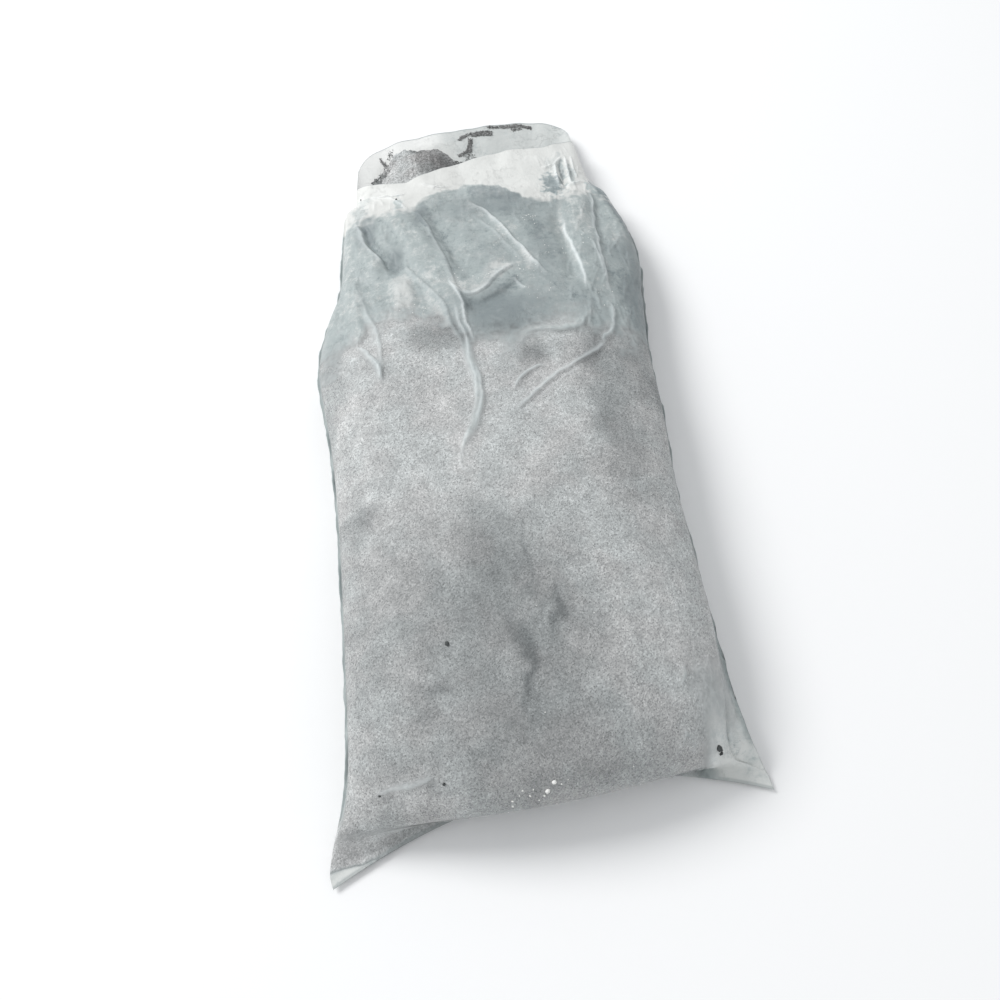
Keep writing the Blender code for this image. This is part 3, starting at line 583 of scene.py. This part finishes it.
# The crevice under the right ear is darkened with the rim colour: painted shade.
crevice = ramp(1.0 - ROWS, 0.0, 0.35) * ramp(x, 0.104, 0.112) * (1 - ramp(x, 0.138, 0.152))
rim = np.maximum(rim, 0.80 * crevice)
rim = np.maximum(rim, 0.60 * np.exp(-(past_seal / 0.0012) ** 2) * at_tip)


def add_surface(name, points, faces, material, attributes=None):
    """A smooth mesh object at the origin, with one material and its values for each point."""
    mesh = bpy.data.meshes.new(name)
    mesh.from_pydata(points.reshape(-1, 3), [], faces)
    mesh.shade_smooth()
    mesh.materials.append(material)
    for label, values in (attributes or {}).items():
        layer = mesh.attributes.new(label, "FLOAT", "POINT")
        layer.data.foreach_set("value", np.ascontiguousarray(values, np.float32).ravel())
    piece = bpy.data.objects.new(name, mesh)
    bpy.context.scene.collection.objects.link(piece)
    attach(piece, "root")
    return piece


def tube_faces(rows, ring):
    """Quads of a tube of rows rings, each with ring points, facing out."""
    start = np.arange(rows - 1)[:, None] * ring
    here = np.arange(ring)[None, :]
    after = (here + 1) % ring
    return np.stack([start + here, start + after, start + ring + after, start + ring + here],
                    -1).reshape(-1, 4)


class Nodes:
    """Short calls for a material's node tree."""

    def __init__(self, name):
        self.material = bpy.data.materials.new(name)
        self.material.use_nodes = True
        self.tree = self.material.node_tree
        self.shader = self.tree.nodes["Principled BSDF"]
        self.place = self.add("ShaderNodeTexCoord").outputs["Object"]

    def add(self, kind, **settings):
        node = self.tree.nodes.new(kind)
        for key, value in settings.items():
            setattr(node, key, value)
        return node

    def put(self, socket, value):
        """Joins a socket to another, or gives it a plain value."""
        if isinstance(value, bpy.types.NodeSocket):
            self.tree.links.new(value, socket)
        else:
            socket.default_value = value

    def noise(self, scale, detail=3.0, rough=0.5, stretch=None):
        node = self.add("ShaderNodeTexNoise")
        self.put(node.inputs["Vector"], self.stretched(stretch) if stretch else self.place)
        node.inputs["Scale"].default_value = scale
        node.inputs["Detail"].default_value = detail
        node.inputs["Roughness"].default_value = rough
        return node.outputs["Fac"]

    def stretched(self, stretch):
        node = self.add("ShaderNodeMapping")
        self.put(node.inputs["Vector"], self.place)
        node.inputs["Scale"].default_value = stretch
        return node.outputs["Vector"]

    def grains(self, scale, output="Color"):
        node = self.add("ShaderNodeTexVoronoi")
        self.put(node.inputs["Vector"], self.place)
        node.inputs["Scale"].default_value = scale
        return node.outputs[output]

    def attribute(self, label):
        return self.add("ShaderNodeAttribute", attribute_name=label).outputs["Fac"]

    def math(self, operation, a, b=0.0, clamp=False):
        node = self.add("ShaderNodeMath", operation=operation, use_clamp=clamp)
        self.put(node.inputs[0], a)
        self.put(node.inputs[1], b)
        return node.outputs[0]

    def between(self, value, low, high, to_low=0.0, to_high=1.0):
        """Maps a value from low..high to to_low..to_high, and holds it there outside."""
        node = self.add("ShaderNodeMapRange", interpolation_type="SMOOTHSTEP")
        for socket, given in zip(node.inputs, (value, low, high, to_low, to_high)):
            self.put(socket, given)
        return node.outputs["Result"]

    def steps(self, value, *stops):
        """A colour ramp of greys: (place, grey) pairs."""
        node = self.add("ShaderNodeValToRGB")
        self.put(node.inputs["Fac"], value)
        band = node.color_ramp
        while len(band.elements) < len(stops):
            band.elements.new(0.5)
        for element, (at, grey) in zip(band.elements, stops):
            element.position = at
            element.color = (grey, grey, grey, 1.0)
        return node.outputs["Color"]

    def mix(self, share, a, b, blend="MIX"):
        node = self.add("ShaderNodeMix", data_type="RGBA", blend_type=blend)
        for key, value in (("Factor_Float", share), ("A_Color", a), ("B_Color", b)):
            self.put(next(s for s in node.inputs if s.identifier == key), value)
        return next(s for s in node.outputs if s.identifier == "Result_Color")

    def bump(self, height, strength, distance, under=None):
        node = self.add("ShaderNodeBump")
        self.put(node.inputs["Strength"], strength)
        node.inputs["Distance"].default_value = distance
        self.put(node.inputs["Height"], height)
        if under is not None:
            self.put(node.inputs["Normal"], under)
        return node.outputs["Normal"]


def crushed_stone(nodes):
    """The greys of crushed stone: a grey for each grain, soft patches, fine cracks where the dust
    has settled, and darker wherever it is wet and where painted shade is laid in through the same value."""
    coarse = nodes.steps(nodes.grains(900.0), (0.10, 0.09), (0.30, 0.34), (0.64, 0.54), (0.92, 0.84))
    fine = nodes.steps(nodes.grains(1600.0), (0.10, 0.16), (0.50, 0.45), (0.92, 0.76))
    grey = nodes.mix(0.36, coarse, fine)
    shade = nodes.between(nodes.noise(46.0, 5.0, 0.62), 0.3, 0.7, 0.84, 1.14)
    shade = nodes.math("MULTIPLY", shade, nodes.between(nodes.noise(240.0, 2.0), 0.3, 0.7, 0.94, 1.06))
    # darker with the damp value, which also carries painted shade on the heap's right face, inside the mouth and in
    # the neck's pockets
    shade = nodes.math("MULTIPLY", shade, nodes.between(nodes.attribute("damp_and_shade"), 0.0, 1.0, 1.12, 0.30))
    line = nodes.math("ABSOLUTE", nodes.math("SUBTRACT", nodes.noise(30.0, 5.0, 0.62), 0.5))
    crack = nodes.math("MULTIPLY", nodes.between(line, 0.0, 0.008, 1.0, 0.0),
                       nodes.between(nodes.noise(11.0, 2.0), 0.46, 0.60, 0.0, 0.30))
    shade = nodes.math("MULTIPLY", shade, nodes.math("SUBTRACT", 1.0, crack))
    tint = nodes.mix(nodes.between(nodes.noise(26.0, 3.0), 0.35, 0.65),
                     (0.965, 1.0, 0.995, 1.0), (1.0, 0.990, 0.980, 1.0))
    return nodes.mix(1.0, nodes.mix(1.0, grey, shade, "MULTIPLY"), tint, "MULTIPLY")


def film_finish():
    """Milky polythene: where it touches the dust it is clear enough to show the grain, and where it
    stands away from the dust it is milky. Dust clings to its inside wherever dust lies below."""
    film = Nodes("milky polythene film")
    touching = film.attribute("touching")
    loose = film.math("SUBTRACT", 1.0, touching)
    white = film.attribute("white")
    dusty_and_shade = film.attribute("dusty_and_shade")
    ripple = film.math("ABSOLUTE", film.math("SUBTRACT", film.noise(75.0, 4.0, 0.62), 0.5))
    veins = film.math("MULTIPLY", film.between(ripple, 0.0, 0.022, 1.0, 0.0), loose)
    veins = film.math("MULTIPLY", veins, film.between(film.noise(30.0, 2.0), 0.42, 0.62))
    tone = film.attribute("tone")
    uneven = film.between(tone, 0.25, 0.80, 3.6, 1.6)
    speckle = film.math("MULTIPLY", film.math("SUBTRACT", film.noise(130.0, 7.0, 0.8), 0.5), uneven)
    curl = film.math("ABSOLUTE", film.math("SUBTRACT", film.noise(105.0, 3.0, 0.6), 0.5))
    curl = film.math("MULTIPLY", film.between(curl, 0.0, 0.026, -0.50, 0.0),
                     film.between(film.noise(24.0, 2.0), 0.44, 0.60))
    tone = film.math("ADD", film.math("ADD", tone, speckle), curl)
    tone = film.math("ADD", tone, film.math("MULTIPLY", film.math("SUBTRACT", film.noise(28.0, 3.0), 0.5), 1.1))
    tone = film.math("ADD", tone, film.math("MULTIPLY", veins, film.between(film.noise(50.0), 0.4, 0.6, -0.30, 0.42)))
    # Tone under 0 darkens the coat and tone over 0 pales it: dust on the inside, and painted light and shade on the
    # folds.
    coat = film.mix(film.between(tone, -1.0, 0.0), (0.22, 0.262, 0.272, 1.0), (0.43, 0.485, 0.482, 1.0))
    coat = film.mix(film.between(tone, 0.0, 1.0), coat, (0.72, 0.735, 0.715, 1.0))
    coat = film.mix(touching, coat, (0.76, 0.775, 0.77, 1.0))
    # darker with the damp value, which also carries painted shade inside the mouth and in the neck's pockets and
    # crevices
    coat = film.mix(film.attribute("damp_and_shade"), coat, (0.27, 0.31, 0.32, 1.0))
    # Where the dusty value is high the film takes the coat: dust on its inside, and inside the mouth painted shade.
    base = film.mix(dusty_and_shade, (0.78, 0.785, 0.76, 1.0), coat)
    packed = film.attribute("packed")
    base = film.mix(packed, base, film.mix(0.26, crushed_stone(film), coat))
    # Dark rim lines along the lip, edges and weld, and painted shade in the crevice under the right ear.
    base = film.mix(film.attribute("rim"), base, (0.30, 0.34, 0.34, 1.0))
    # white along the fold crests: doubled film and a painted highlight
    base = film.mix(white, base, (0.88, 0.92, 0.92, 1.0))
    film.put(film.shader.inputs["Base Color"], base)
    haze = film.between(touching, 0.0, 1.0, 0.62, 0.24)
    haze = film.math("ADD", haze, film.math("MULTIPLY", film.math("MULTIPLY", loose, dusty_and_shade), 0.20))
    haze = film.math("ADD", haze, film.attribute("veil"))
    haze = film.math("MAXIMUM", haze, film.math("MULTIPLY", packed, 0.96))
    haze = film.math("ADD", haze, film.math("MULTIPLY", white, 0.35), clamp=True)
    film.put(film.shader.inputs["Alpha"], haze)
    film.put(film.shader.inputs["Roughness"], film.between(film.noise(55.0, 3.0), 0.3, 0.7, 0.30, 0.46))
    crumple = film.math("ADD", film.noise(150.0, 6.0, 0.7), film.math("MULTIPLY", veins, 0.5))
    film.put(film.shader.inputs["Normal"], film.bump(crumple, film.between(loose, 0.0, 1.0, 0.15, 0.6), 0.0016))
    film.shader.inputs["IOR"].default_value = 1.5
    film.shader.inputs["Specular IOR Level"].default_value = 0.4
    return film.material


film_material = film_finish()
bag = add_surface("polythene_bag", points, tube_faces(*points.shape[:2]), film_material,
                  {"touching": touching, "white": white, "dusty_and_shade": dusty_and_shade, "damp_and_shade": damp_and_shade, "tone": tone,
                   "veil": veil, "rim": rim, "packed": packed})
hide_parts("polythene_film")


# ---- The dust ---------------------------------------------------------------------------------
# Grey crushed stone dust, poured in loose. It fills the bag nearly to the neck, where it ends in
# a slope at its angle of repose.

DUST_GAP = 0.0005        # clearance under the film
DUST_FIRST, DUST_LAST = 1.6, 15.0
REPOSE = math.radians(36.0)
SPILL_WIDTH = 0.74       # width of the dust at its edge, as a share of the film's
SPILL_REACH = 0.345      # y where the dust ends
SPILL_ROWS = 60


def dust_sheets(place, u_upper, u_lower):
    """The sheets of the film moved in by the gap, and by the slack of the upper film."""
    def inner(u):
        fin = fin_at(place, u)
        return sheets(place, u / (1 + fin), fin)

    rings = ring_loop(inner(u_upper)[0], inner(u_lower)[1])
    gap = DUST_GAP + 0.0012 * np.clip(DUST_FIRST + 1 - place, 0, 1)
    rings = rings - outward(rings) * gap[..., None]
    split = len(u_upper)
    upper = rings[:, :split].copy()
    under = np.concatenate([rings[:, :1], rings[:, :split - 1:-1], rings[:, split - 1:split]], axis=1)
    stand = 1 - abs(u_upper) ** 12
    swell = heave(upper[..., 0], upper[..., 1]) * stand * ramp(place, 2.0, 4.0)
    swell = swell * (1 - ramp(upper[..., 1], 0.255, 0.300))
    upper[..., 2] += swell - slack_at(upper[..., 0], upper[..., 1]) * stand
    return upper, under


def lumps(x, y):
    """The lumpy face of loose dust: clods of 12, 5 and 2 mm."""
    return (0.0016 * cloud(x, y, 0.014, 51) + 0.0010 * cloud(x, y, 0.0055, 52)
            + 0.0006 * cloud(x, y, 0.0025, 53))


def spill_rows(u):
    """Places and u of the rows of dust past its last full section, and each row's share of the way."""
    trial = np.linspace(DUST_LAST, LAST_PLACE, 400)[:, None]
    edge = sheets(trial, SPILL_WIDTH * u[None, :])[1]
    ragged = 0.004 * cloud(edge[..., 0], 0 * edge[..., 0], 0.011, 61)
    short = edge[..., 1] < SPILL_REACH + ragged
    end = trial[np.minimum(short.sum(axis=0), len(trial)) - 1, 0]
    step = np.linspace(0.0, 1.0, SPILL_ROWS + 1)[1:, None]
    return DUST_LAST + step * (end - DUST_LAST), (1 - (1 - SPILL_WIDTH) * step ** 0.7) * u, step


def end_strip(first, ring, split, flip=False):
    """Triangles that close a ring, from its upper points, the first split ones, to its lower ones."""
    above = list(range(first, first + split))
    below = [first] + list(range(first + ring - 1, first + split - 1, -1)) + [above[-1]]
    faces = []
    i = j = 0
    while i < len(above) - 1 or j < len(below) - 1:
        behind = (i + 1) * (len(below) - 1) <= (j + 1) * (len(above) - 1)
        if j == len(below) - 1 or (i < len(above) - 1 and behind):
            face = (above[i], below[j], above[i + 1])
            i += 1
        else:
            face = (above[i], below[j], below[j + 1])
            j += 1
        if len(set(face)) == 3:
            faces.append(face[::-1] if flip else face)
    return faces


dust_across, dust_below = spread(200), spread(40)
place = np.linspace(DUST_FIRST, DUST_LAST, 221)[:, None]
body_upper, body_under = dust_sheets(place, dust_across, dust_below)
place_up, u_up, step = spill_rows(dust_across)
film_over, film_under = sheets(place_up, u_up)
down = body_upper[-1, :, 2] - math.tan(REPOSE) * (film_under[..., 1] - body_upper[-1, :, 1])
slope_x = film_over[..., 0]
slope_y = film_over[..., 1] + step * (film_under[..., 1] - film_over[..., 1])
lowest = film_under[..., 2] + 0.0012 + 0.0015 * (1 - abs(dust_across) ** 8)
ceiling = np.maximum(film_over[..., 2] - slack_at(slope_x, slope_y) - 0.0026, lowest)
slope_z = np.clip(down + lumps(slope_x, slope_y) * ramp(step, 0.0, 0.12), lowest, ceiling)
spill_upper = np.stack([slope_x, slope_y, slope_z], -1)
place_down, u_down, _ = spill_rows(dust_below)
spill_under = sheets(place_down, u_down)[1]
spill_under[..., 2] = np.maximum(spill_under[..., 2] + DUST_GAP, 2 * FLOOR_GAP)
spill_upper[:, [0, -1]] = spill_under[:, [0, -1]]
body_under[..., 2] = np.maximum(body_under[..., 2], 2 * FLOOR_GAP)
dust_rings = ring_loop(np.concatenate([body_upper, spill_upper]),
                       np.concatenate([body_under, spill_under]))


def dust_finish():
    """Crushed stone: grains of about a millimetre from near black to near white, in a mid grey."""
    dust = Nodes("grey stone dust")
    dust.put(dust.shader.inputs["Base Color"], crushed_stone(dust))
    dust.shader.inputs["Roughness"].default_value = 0.95
    dust.shader.inputs["Specular IOR Level"].default_value = 0.2
    relief = dust.bump(dust.grains(900.0, "Distance"), 0.5, 0.0005)
    dust.put(dust.shader.inputs["Normal"], relief)
    return dust.material


ring, split = dust_rings.shape[1], len(dust_across)
dust_faces = tube_faces(*dust_rings.shape[:2]).tolist()
dust_faces += end_strip(0, ring, split)
dust_faces += end_strip((len(dust_rings) - 1) * ring, ring, split, flip=True)
dust_material = dust_finish()
dust = add_surface("dust_load", dust_rings, dust_faces, dust_material,
                   {"damp_and_shade": damp_and_shade_at(dust_rings[..., 0], dust_rings[..., 1])})
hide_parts("stone_dust")


# ---- The heap in the mouth ---------------------------------------------------------------------
# Dust that has run out of the load into the left of the mouth. It lies on the lower film as a low
# hipped heap with a lumpy face, and reaches back to the slope under the upper film. Its right face
# is painted darker, as painted shade.

# The foot of the heap, anticlockwise as seen from above, and the slope of the face above each side
HEAP_FOOT = ((-0.122, 0.349), (-0.122, 0.306), (-0.016, 0.306), (-0.018, 0.372), (-0.022, 0.390),
             (-0.032, 0.403), (-0.056, 0.4065), (-0.082, 0.4060), (-0.101, 0.384), (-0.115, 0.359))
HEAP_SLOPES = (60.0, 60.0, 55.0, 34.0, 33.0, 38.0, 38.0, 35.0, 32.0, 32.0)
HEAP_CENTRE = (-0.068, 0.362)
HEAP_TOP = 0.0205
SOFTNESS = 0.0022        # how rounded the ridges between the faces are


def lower_film_height(x, y):
    """Height of the lower film's inner face at each point: that of its nearest mesh point."""
    flat = points[-90:, top.stop:].reshape(-1, 3)
    near = np.argmin((flat[:, 0] - x.reshape(-1, 1)) ** 2 + (flat[:, 1] - y.reshape(-1, 1)) ** 2, axis=1)
    return flat[near, 2].reshape(x.shape) + 0.0003


angle = np.linspace(-math.pi, math.pi, 200, endpoint=False)
foot = np.array(HEAP_FOOT) - HEAP_CENTRE
bearing = np.arctan2(foot[:, 1], foot[:, 0])
order = np.argsort(bearing)
reach = np.interp(angle, bearing[order], np.hypot(*foot[order].T), period=2 * math.pi)
reach = reach + 0.0022 * cloud(angle, 0 * angle, 0.16, 63) + 0.0012 * cloud(angle, 0 * angle, 0.06, 64)
radius = np.linspace(0.0, 1.0, 61)[1:, None]
heap_x = HEAP_CENTRE[0] + radius * reach * np.cos(angle)
heap_y = HEAP_CENTRE[1] + radius * reach * np.sin(angle)
faces_up = []
for (ax, ay), (bx, by), slope in zip(HEAP_FOOT, HEAP_FOOT[1:] + HEAP_FOOT[:1], HEAP_SLOPES):
    away = ((bx - ax) * (heap_y - ay) - (by - ay) * (heap_x - ax)) / math.hypot(bx - ax, by - ay)
    faces_up.append(away * math.tan(math.radians(slope)))
faces_up.append(HEAP_TOP - 0.16 * (heap_y - 0.350) + 0.10 * (heap_x + 0.070)
                + 0.0022 * cloud(heap_x, heap_y, 0.022, 65))
rise = -SOFTNESS * np.log(np.sum(np.exp(-np.array(faces_up) / SOFTNESS), axis=0))
rim = ramp(1 - radius, 0.0, 0.06)
floor_z = lower_film_height(heap_x, heap_y)
heap_z = floor_z + rim * (np.maximum(rise, 0.0007) + 0.8 * lumps(heap_x, heap_y))
heap_z = np.maximum(heap_z, floor_z + 0.0004 * rim)
crown_z = heap_z[0].mean()
heap_top = np.stack([heap_x, heap_y, heap_z], -1).reshape(-1, 3)
turns = len(angle)
heap_points = np.vstack([heap_top, [(*HEAP_CENTRE, crown_z)],
                         np.stack([heap_x[-1], heap_y[-1], floor_z[-1] - 0.0002], -1),
                         [(*HEAP_CENTRE, floor_z.mean() - 0.0002)]])
rings_out = tube_faces(len(radius), turns)[:, ::-1]
around = np.arange(turns)
following = (around + 1) % turns
rim_first = (len(radius) - 1) * turns
low_first = len(heap_top) + 1
heap_faces = rings_out.tolist()
heap_faces += np.stack([around, following, np.full(turns, len(heap_top))], -1).tolist()
heap_faces += np.stack([rim_first + following, rim_first + around, low_first + around,
                        low_first + following], -1).tolist()
heap_faces += np.stack([low_first + following, low_first + around,
                        np.full(turns, low_first + turns)], -1).tolist()
# The right face of the heap is darkened through its damp value: painted shade over a plain damp base.
ridge = heap_points[:, 0] + 0.25 * (heap_points[:, 1] - 0.39)
ridge = ridge + 0.007 * cloud(heap_points[:, 0], heap_points[:, 1], 0.016, 66)
heap_damp_and_shade = 0.20 + 0.45 * ramp(ridge, -0.078, -0.058)
heap = add_surface("mouth_heap", heap_points, heap_faces, dust_material, {"damp_and_shade": heap_damp_and_shade})


# ---- Loose crumbs, chips and specks ------------------------------------------------------------
# Crumbs of damp dust stuck to the inside of the mouth, pale stone chips at the bottom edge, pale
# flecks on the film for its small glints, which are painted highlights and partly crumbs, and a few
# black bits. Each is a small uneven lump.

GOLDEN = (1 + math.sqrt(5)) / 2
LUMP = np.array([(0, 1, GOLDEN), (0, 1, -GOLDEN), (0, -1, GOLDEN), (0, -1, -GOLDEN),
                 (1, GOLDEN, 0), (1, -GOLDEN, 0), (-1, GOLDEN, 0), (-1, -GOLDEN, 0),
                 (GOLDEN, 0, 1), (-GOLDEN, 0, 1), (GOLDEN, 0, -1), (-GOLDEN, 0, -1)]) / math.hypot(1, GOLDEN)
LUMP_FACES = np.array([(0, 2, 8), (0, 8, 4), (0, 4, 6), (0, 6, 9), (0, 9, 2), (3, 1, 11), (3, 10, 1),
                       (3, 5, 10), (3, 7, 5), (3, 11, 7), (2, 5, 8), (8, 5, 10), (8, 10, 4),
                       (4, 10, 1), (4, 1, 6), (6, 1, 11), (6, 11, 9), (9, 11, 7), (9, 7, 2), (2, 7, 5)])


def add_lumps(name, centres, sizes, flatness, material, seed, attributes=None):
    """Uneven 20-sided lumps, each turned and stretched at random, as one mesh."""
    rng = np.random.default_rng(seed)
    count = len(centres)
    turn = rng.uniform(0, 2 * math.pi, count)
    shape = LUMP[None] * rng.uniform(0.72, 1.2, (count, 12, 1)) * rng.uniform(0.7, 1.3, (count, 1, 3))
    shape = shape * (np.asarray(sizes) / 2)[:, None, None] * (1, 1, flatness)
    c, s = np.cos(turn)[:, None], np.sin(turn)[:, None]
    shape = np.stack([c * shape[..., 0] - s * shape[..., 1], s * shape[..., 0] + c * shape[..., 1],
                      shape[..., 2]], -1)
    faces = (LUMP_FACES[None] + 12 * np.arange(count)[:, None, None]).reshape(-1, 3)
    values = {label: np.repeat(np.asarray(value), 12) for label, value in (attributes or {}).items()}
    piece = add_surface(name, np.asarray(centres)[:, None] + shape, faces, material, values)
    return piece


# Patches of crumbs on the lower film: route in (x, y), half width, how many
CRUMB_PATCHES = (
    (((0.006, 0.4268), (0.018, 0.4260), (0.029, 0.4250)), 0.0042, 420),
    (((-0.011, 0.4188), (-0.002, 0.4246), (0.008, 0.4278)), 0.0026, 150),
    (((0.0036, 0.4190), (0.0016, 0.4090), (-0.0004, 0.4010)), 0.0034, 230),
    (((-0.0130, 0.3948), (-0.0053, 0.3985), (0.0010, 0.4015)), 0.0030, 120),
    (((-0.006, 0.3925), (0.0000, 0.3940), (0.004, 0.3965)), 0.0040, 26),
    (((0.0414, 0.4352), (0.0536, 0.4350), (0.0658, 0.4340), (0.0793, 0.4300)), 0.0026, 520),
    (((0.0265, 0.4352), (0.0387, 0.4345)), 0.0024, 70),
    (((0.0540, 0.4290), (0.0660, 0.4290)), 0.0030, 40),
    (((-0.022, 0.3860), (-0.012, 0.3840), (0.004, 0.3890), (0.020, 0.3880)), 0.0034, 90),
    (((-0.1082, 0.3962), (-0.1027, 0.3871), (-0.0995, 0.3784)), 0.0028, 110),
    (((-0.1060, 0.3730), (-0.1130, 0.3640), (-0.1196, 0.3571)), 0.0024, 80),
    (((-0.1230, 0.3500), (-0.1130, 0.3530)), 0.0024, 50),
    (((-0.098, 0.3960), (-0.092, 0.4080)), 0.0050, 26),
)
rng = np.random.default_rng(91)
crumb_xy = []
for route, half_width, count in CRUMB_PATCHES:
    line = smooth_route(route, 12)
    along = rng.uniform(0, len(line) - 1, count)
    on_line = np.stack([np.interp(along, np.arange(len(line)), line[:, k]) for k in (0, 1)], -1)
    crumb_xy.append(on_line + rng.uniform(-1, 1, (count, 2)) * half_width * rng.uniform(0.3, 1.0, (count, 1)))
crumb_xy = np.vstack(crumb_xy)
crumb_size = rng.uniform(0.0009, 0.0019, len(crumb_xy))
crumb_z = lower_film_height(crumb_xy[:, 0], crumb_xy[:, 1]) + 0.25 * crumb_size
add_lumps("mouth_crumbs", np.column_stack([crumb_xy, crumb_z]), crumb_size, 0.6, dust_material, 92,
          {"damp_and_shade": rng.uniform(0.50, 0.90, len(crumb_xy))})


def on_film(spots):
    """The points of the upper film nearest to (x, y), taking the uppermost."""
    surface = points[:, top].reshape(-1, 3)
    spots = np.asarray(spots)
    near = np.argmin((surface[:, 0] - spots[:, :1]) ** 2 + (surface[:, 1] - spots[:, 1:2]) ** 2
                     + 0.00002 * (0.12 - surface[:, 2]), axis=1)
    return surface[near], out[:, top].reshape(-1, 3)[near]


def plain_stone(name, colour, variation):
    """A stone colour with its own darker and lighter spots."""
    stone = Nodes(name)
    shade = stone.between(stone.noise(900.0, 3.0), 0.3, 0.7, 1 - variation, 1 + variation)
    stone.put(stone.shader.inputs["Base Color"], stone.mix(1.0, colour, shade, "MULTIPLY"))
    stone.shader.inputs["Roughness"].default_value = 0.7
    return stone.material


# Pale chips at the bottom edge: (x, y) on the film and size; then the fine glints over the neck, painted highlights
# made as pale flecks
CHIPS = ((-0.001, -0.387, 0.0046), (-0.007, -0.392, 0.0040), (-0.027, -0.390, 0.0018),
         (-0.019, -0.390, 0.0018), (-0.022, -0.394, 0.0020), (-0.010, -0.395, 0.0022),
         (-0.036, -0.396, 0.0020), (-0.036, -0.399, 0.0020), (-0.030, -0.3935, 0.0013),
         (0.004, -0.389, 0.0013), (-0.015, -0.397, 0.0014), (0.010, -0.386, 0.0012))
# Clusters of glints, painted highlights made as pale flecks: centre, spread, how many
GLINTS = ((0.050, 0.232, 0.006, 12), (0.066, 0.176, 0.008, 10), (0.040, 0.150, 0.010, 14),
          (0.050, 0.120, 0.010, 10), (-0.085, 0.105, 0.009, 12), (-0.030, 0.150, 0.012, 10),
          (0.100, 0.190, 0.010, 8), (0.020, 0.200, 0.016, 8), (0.120, 0.100, 0.012, 10),
          (-0.100, 0.060, 0.020, 8), (0.020, -0.340, 0.050, 14), (0.110, -0.120, 0.030, 10),
          (-0.130, -0.060, 0.030, 8))
spots = [np.array([chip[:2] for chip in CHIPS])]
sizes = [np.array([chip[2] for chip in CHIPS])]
for cx, cy, spread_out, count in GLINTS:
    spots.append(rng.normal((cx, cy), spread_out, (count, 2)))
    sizes.append(rng.uniform(0.0006, 0.0013, count))
spots, sizes = np.vstack(spots), np.concatenate(sizes)
at, normal = on_film(spots)
# Pale flecks: chips at the bottom edge, and painted highlights for the glints.
add_lumps("pale_chips_and_glints", at + normal * (0.15 * sizes)[:, None], sizes, 0.5,
          plain_stone("pale stone chip and glint", (0.86, 0.86, 0.83, 1.0), 0.08), 93)

BITS = ((-0.077, -0.270, 0.0042), (-0.090, -0.379, 0.0036), (-0.143, -0.380, 0.0030),
        (0.141, -0.367, 0.0058), (0.143, -0.370, 0.0040), (0.163, 0.232, 0.0026),
        (-0.132, 0.3055, 0.0030), (-0.092, 0.2850, 0.0034))
at, normal = on_film([bit[:2] for bit in BITS])
sizes = np.array([bit[2] for bit in BITS])
add_lumps("black_bits", at + normal * (0.1 * sizes)[:, None], sizes, 0.45,
          plain_stone("black bit", (0.05, 0.055, 0.055, 1.0), 0.3), 94)


# ---- The studio -------------------------------------------------------------------------------
# A pale floor, a large soft light high on the far left, and the camera where the photograph was
# taken from: above the welded end, looking down at 60 degrees.

floor_mesh = bpy.data.meshes.new("floor")
floor_mesh.from_pydata([(-6, -6, 0), (6, -6, 0), (6, 6, 0), (-6, 6, 0)], [], [(0, 1, 2, 3)])
floor = bpy.data.objects.new("floor", floor_mesh)
bpy.context.scene.collection.objects.link(floor)
paper = Nodes("pale floor")
paper.shader.inputs["Base Color"].default_value = (0.95, 0.95, 0.95, 1.0)
paper.shader.inputs["Roughness"].default_value = 0.9
paper.shader.inputs["Specular IOR Level"].default_value = 0.0
floor_mesh.materials.append(paper.material)

key_data = bpy.data.lights.new("key", "AREA")
key_data.shape = "DISK"
key_data.size = 2.2
key_data.energy = 150.0
key = bpy.data.objects.new("key", key_data)
key.location = (-2.9, 1.9, 3.1)
key.rotation_euler = (-key.location).to_track_quat("-Z", "Y").to_euler()
bpy.context.scene.collection.objects.link(key)

world = bpy.data.worlds.new("studio")
world.use_nodes = True
world.node_tree.nodes["Background"].inputs["Color"].default_value = (0.96, 0.98, 1.0, 1.0)
world.node_tree.nodes["Background"].inputs["Strength"].default_value = 0.66
bpy.context.scene.world = world
bpy.context.scene.view_settings.view_transform = "Standard"

TARGET = Vector((-0.0165, -0.1125, 0.05))
azimuth, elevation = math.radians(-6.0), math.radians(60.0)
back = Vector((math.sin(azimuth) * math.cos(elevation), -math.cos(azimuth) * math.cos(elevation),
               math.sin(elevation)))
camera_data = bpy.data.cameras.new("camera")
camera_data.sensor_width = 36.0
camera_data.lens = 39.168
camera = bpy.data.objects.new("camera", camera_data)
camera.location = TARGET + back * 1.025
camera.rotation_euler = (-back).to_track_quat("-Z", "Y").to_euler()
bpy.context.scene.collection.objects.link(camera)
bpy.context.scene.camera = camera
